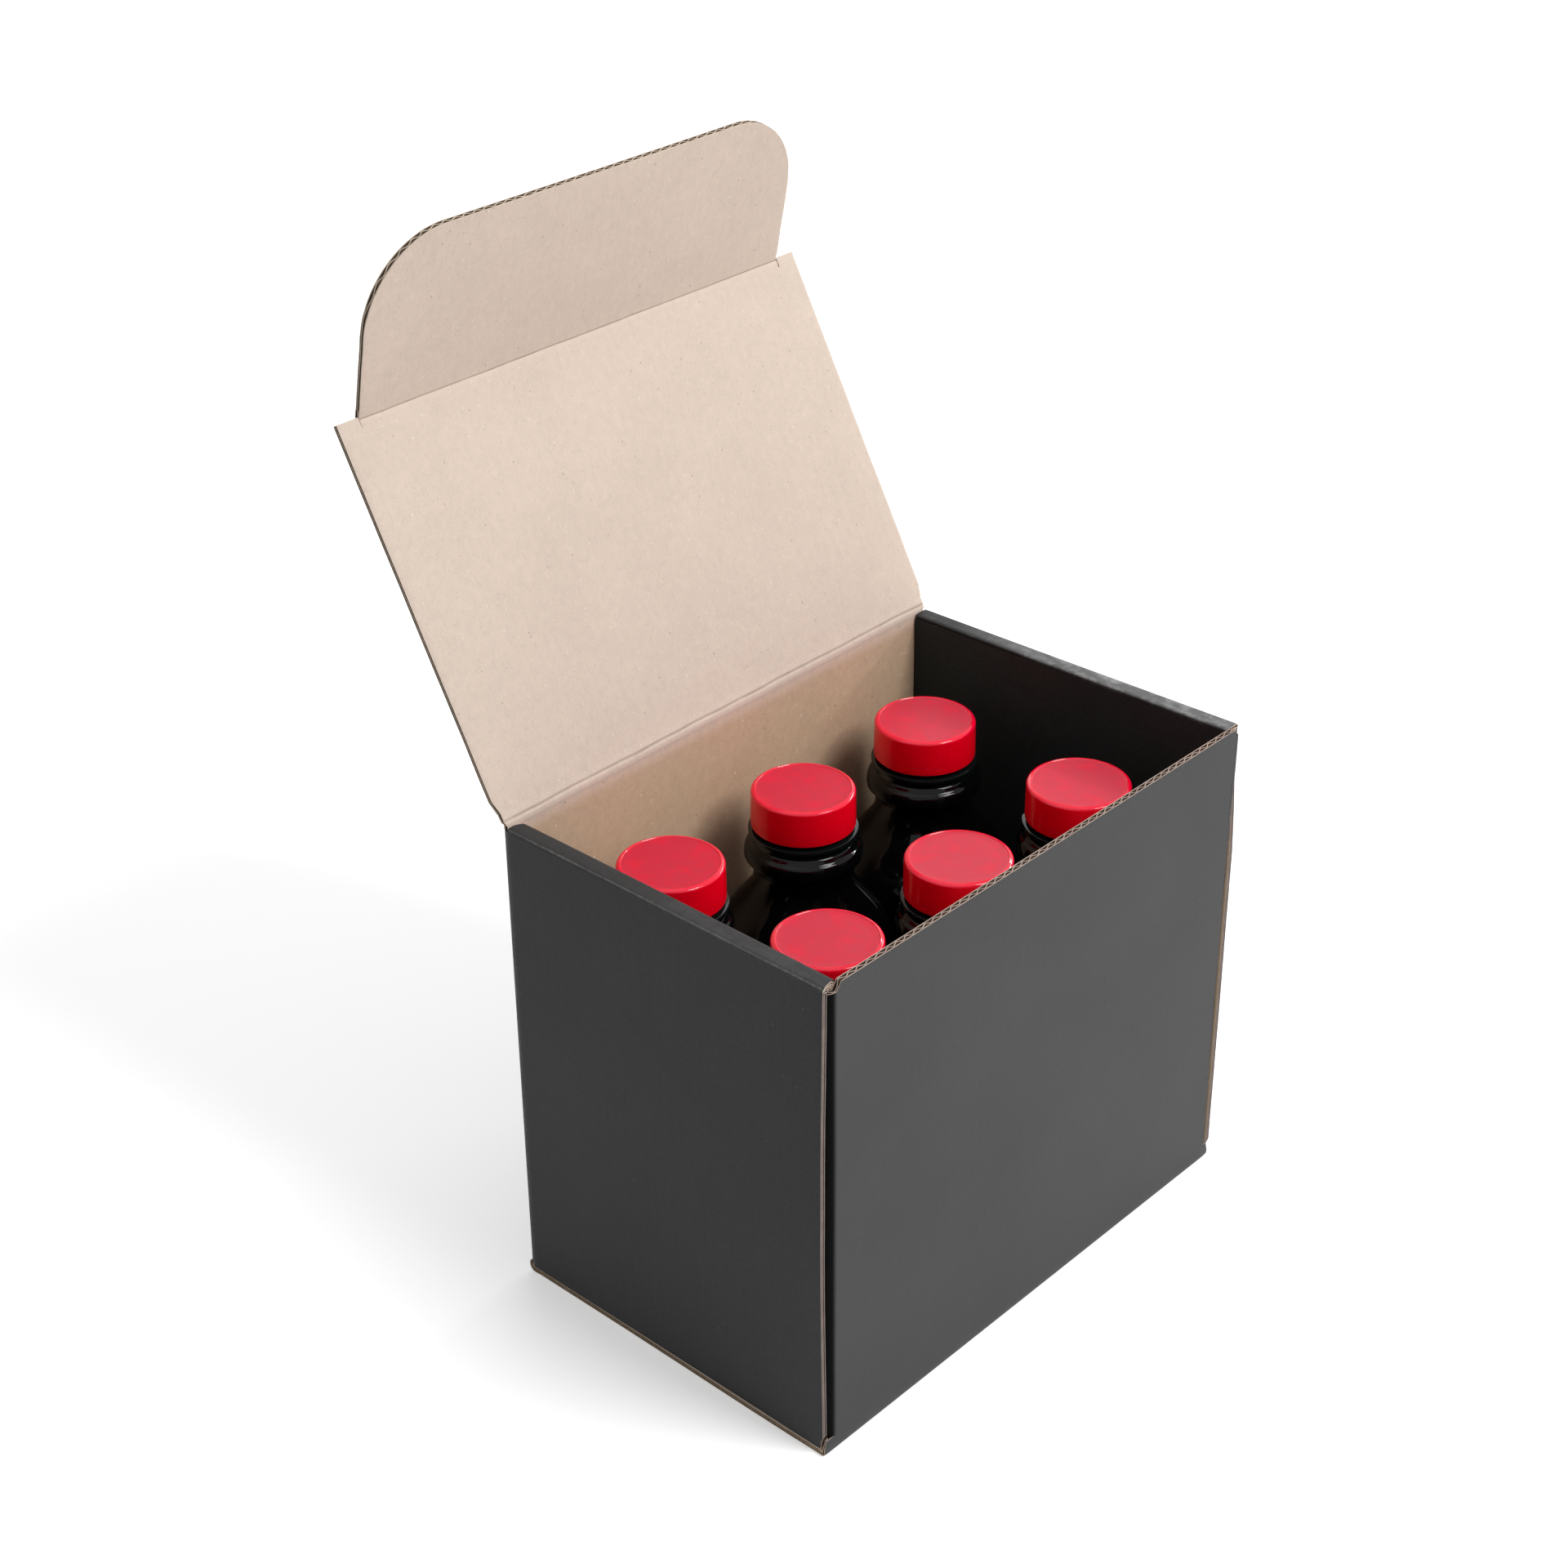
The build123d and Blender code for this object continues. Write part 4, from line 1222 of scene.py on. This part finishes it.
class SHIPBOX_OT_bottles(bpy.types.Operator):
    """Six blown bottles filled with black drink"""

    bl_idname = "shipbox.bottles"
    bl_label = "Bottles"

    def execute(self, context):
        sizes = context.scene.ship_bottle
        body, waist, bulge = sizes.diameter / 2, sizes.waist_diameter / 2, sizes.bulge_diameter / 2
        neck, ring, mouth = sizes.neck_diameter / 2, sizes.ring_diameter / 2, sizes.finish_diameter / 2
        recess, heel = sizes.base_recess_diameter / 2, sizes.heel
        rise, crown = sizes.bulge_rise, sizes.bulge_crown
        heights = bottle_heights(sizes)
        body_top, shoulder_top, waist_top, bulge_middle, bulge_top, ring_low, ring_high, cap_low = heights
        mouth_high = cap_low + sizes.cap_height - 3.0 * MM

        profile = [(recess * k / 8, sizes.base_recess * (1 - (k / 8) ** 2)) for k in range(9)]
        profile.append((body - heel, 0.0))
        profile += [(body - heel + heel * sine, heel * (1 - cosine)) for sine, cosine in quarter(8)]
        profile += [(body, body_top * 0.5), (body, body_top)]
        swell, taper = (body, body_top + sizes.fullness), (waist, shoulder_top - sizes.fullness / 2)
        profile += bezier(28, (body, body_top), swell, taper, (waist, shoulder_top))
        profile.append((waist, waist_top))
        edge = bulge_middle - rise * 0.22
        under, over = (bulge - 0.7 * MM, edge - 0.5 * MM), (bulge, edge + 0.8 * MM)
        top = (bulge - 1.6 * MM, bulge_middle + crown * 0.62)
        rising, outward = (waist, waist_top + rise * 0.40), (bulge - 2.4 * MM, edge - 2.2 * MM)
        upright = (bulge, bulge_middle + crown * 0.35)
        leaning = (bulge - 0.9 * MM, bulge_middle + crown * 0.55)
        inward = (bulge - 2.3 * MM, bulge_middle + crown * 0.70)
        at_neck = (neck + 0.5 * MM, bulge_top - 0.3 * MM)
        profile += bezier(12, (waist, waist_top), rising, outward, under)
        profile += bezier(6, under, (bulge - 0.1 * MM, edge), (bulge, edge + 0.2 * MM), over)
        profile += bezier(9, over, upright, leaning, top)
        profile += bezier(7, top, inward, at_neck, (neck, bulge_top))
        drink_rings = len(profile)
        soft = 0.35 * MM
        chamfer = soft * 0.3
        profile += [
            (neck, bulge_top + 0.15 * MM),
            (neck, ring_low - soft), (neck + chamfer, ring_low - chamfer), (neck + soft, ring_low),
            (ring - soft, ring_low), (ring - chamfer, ring_low + chamfer), (ring, ring_low + soft),
            (ring, ring_high - soft), (ring - chamfer, ring_high - chamfer), (ring - soft, ring_high),
            (mouth, ring_high), (mouth, mouth_high), (0.0, mouth_high),
        ]
        slots = [0 if index < drink_rings else 1 for index in range(len(profile) - 1)]
        tints = context.scene.ship_finish
        finishes = [
            bottle_finish("bottle_black_gloss", tints.drink, 28.0, 0.4, 0.035, 0.5, 0.08, 0.20),
            bottle_finish("bottle_neck_plastic", tints.ring, 60.0, 0.5, 0.03, 0.3, 0.10, 0.30),
        ]
        for number, foot in enumerate(bottle_feet(), start=1):
            piece = finished(lathe(profile, sizes.turns, slots), f"drink_bottle_{number}", finishes)
            piece.location = foot
            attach(piece, "carton")
            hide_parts(f"bottle_{number}")
        return {"FINISHED"}


class SHIPBOX_OT_caps(bpy.types.Operator):
    """Six moulded screw caps with a thin rim round the top and a tamper band"""

    bl_idname = "shipbox.caps"
    bl_label = "Caps"

    def execute(self, context):
        sizes = context.scene.ship_bottle
        radius, high = sizes.cap_diameter / 2, sizes.cap_height
        bore, rim = radius - sizes.cap_wall, radius - 1.8 * MM
        ceiling, groove = high - 1.8 * MM, 0.12 * MM
        corners = [
            (bore, ceiling), (bore, 0.0), (radius, 0.0), (radius, sizes.band - groove),
            (radius - groove * 0.6, sizes.band), (radius, sizes.band + groove),
            (radius - 0.15 * MM, high - 0.55 * MM),
            (rim + 0.35 * MM, high - 0.16 * MM), (rim, high), (rim - 0.32 * MM, high - 0.36 * MM),
            (rim - 3.2 * MM, high - sizes.cap_recess), (0.0, high - sizes.cap_recess - 0.25 * MM),
        ]
        radii = [0.1, 0.5, 0.25, 0.12, 0.25, sizes.cap_shoulder / MM, 0.3, 0.14, 0.25, 6.0]
        outline = Fold(corners, [size * MM for size in radii], spacing=4 * MM)
        profile = [(0.0, ceiling), *outline.points]
        finish = cap_finish()
        seat = Vector((0.0, 0.0, bottle_heights(sizes)[-1]))
        for number, foot in enumerate(bottle_feet(), start=1):
            piece = finished(lathe(profile, sizes.turns), f"screw_cap_{number}", [finish])
            piece.location = foot + seat
            piece.rotation_euler = (0.0, 0.0, number * 1.9)
            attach(piece, "carton")
            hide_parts(f"cap_{number}")
        return {"FINISHED"}


# Studio


def studio_sky(studio):
    """Soft light from all round, weaker from the left; it is seen as plain white."""
    mix = Recipe("studio_sky", "worlds", "Generated")
    x, y, z = mix.split(mix.place)
    soft = (x * 0.60 - y * 0.10 + z * 0.45 + 0.75) * studio.sky
    light = mix.node("ShaderNodeBackground", Color=(1.0, 1.0, 1.0), Strength=soft)
    plain = mix.node("ShaderNodeBackground", Color=(1.0, 1.0, 1.0), Strength=1.0)
    shown = mix.node("ShaderNodeMixShader", i0=mix.seen(), i1=light, i2=plain)
    return mix.end("ShaderNodeOutputWorld", shown)


class SHIPBOX_OT_stage(bpy.types.Operator):
    """Pale floor, soft lamps and the camera"""

    bl_idname = "shipbox.stage"
    bl_label = "Stage"

    def execute(self, context):
        scene = context.scene
        studio = scene.ship_studio
        mesh = bmesh.new()
        bmesh.ops.create_grid(mesh, x_segments=8, y_segments=8, size=6.0)
        floor = finished(mesh, "studio_floor", [floor_finish()])

        camera = bpy.data.cameras.new("camera")
        camera.sensor_width = 36.0
        camera.lens = 65.81
        camera.clip_start, camera.clip_end = 0.05, 40.0
        right = Vector((0.67029, -0.74206, -0.00738))
        ahead = Vector((0.64065, 0.58365, -0.49892))
        turn = Matrix((right, right.cross(ahead), -ahead)).transposed()
        eye = bpy.data.objects.new("camera", camera)
        eye.matrix_world = Matrix.Translation((-0.7169, -0.6042, 0.7433)) @ turn.to_4x4()
        scene.collection.objects.link(eye)
        scene.camera = eye

        middle = Vector((0.0, 0.0, 0.15))
        for name, spot, size, power in (
            ("key_lamp", Vector((0.35, -1.55, 2.05)), (0.9, 0.9), studio.key),
            ("side_lamp", Vector((2.0, -0.15, 1.15)), (1.3, 0.07), studio.side),
            ("rim_lamp", Vector((1.45, 1.30, 1.30)), (1.4, 1.2), studio.rim),
            ("top_lamp", Vector((-0.3, 0.2, 2.4)), (1.6, 1.6), studio.top),
        ):
            lamp = bpy.data.lights.new(name, "AREA")
            lamp.shape = "RECTANGLE"
            lamp.size, lamp.size_y = size
            lamp.energy = power
            holder = bpy.data.objects.new(name, lamp)
            holder.location = spot
            holder.rotation_euler = (middle - spot).to_track_quat("-Z", "Y").to_euler()
            scene.collection.objects.link(holder)

        scene.world = studio_sky(studio)
        scene.view_settings.view_transform = "Standard"
        return {"FINISHED"}


PIECES = (
    SHIPBOX_OT_stage,
    SHIPBOX_OT_front_and_floor,
    SHIPBOX_OT_back_and_sides,
    SHIPBOX_OT_roll_overs,
    SHIPBOX_OT_corner_flaps,
    SHIPBOX_OT_lid,
    SHIPBOX_OT_tuck_flap,
    SHIPBOX_OT_creases,
    SHIPBOX_OT_bottles,
    SHIPBOX_OT_caps,
)


class SHIPBOX_PT_panel(bpy.types.Panel):
    """Sidebar panel that lists the pieces of the box"""

    bl_idname = "SHIPBOX_PT_panel"
    bl_label = "Shipping box"
    bl_space_type = "VIEW_3D"
    bl_region_type = "UI"
    bl_category = "Shipping box"

    def draw(self, context):
        for piece in PIECES:
            self.layout.operator(piece.bl_idname)
        for group in ("ship_board", "ship_lid", "ship_bottle", "ship_finish", "ship_studio"):
            column = self.layout.column(align=True)
            settings = getattr(context.scene, group)
            for name in settings.__annotations__:
                column.prop(settings, name)


GROUPS = {
    "ship_board": BoardSizes,
    "ship_lid": LidSizes,
    "ship_bottle": BottleSizes,
    "ship_finish": Finishes,
    "ship_studio": StudioSettings,
}


def register():
    for name, group in GROUPS.items():
        bpy.utils.register_class(group)
        setattr(bpy.types.Scene, name, PointerProperty(type=group))
    for piece in PIECES:
        bpy.utils.register_class(piece)
    bpy.utils.register_class(SHIPBOX_PT_panel)


def unregister():
    bpy.utils.unregister_class(SHIPBOX_PT_panel)
    for piece in reversed(PIECES):
        bpy.utils.unregister_class(piece)
    for name, group in reversed(GROUPS.items()):
        delattr(bpy.types.Scene, name)
        bpy.utils.unregister_class(group)


def plain(box):
    return [[float(value) for value in corner] for corner in box]


def main():
    register()
    bpy.ops.shipbox.stage()
    bpy.ops.shipbox.front_and_floor()
    bpy.ops.shipbox.back_and_sides()
    bpy.ops.shipbox.roll_overs()
    bpy.ops.shipbox.corner_flaps()
    bpy.ops.shipbox.lid()
    bpy.ops.shipbox.tuck_flap()
    bpy.ops.shipbox.creases()
    bpy.ops.shipbox.bottles()
    bpy.ops.shipbox.caps()
    bpy.context.view_layer.update()


if __name__ == "__main__":
    main()
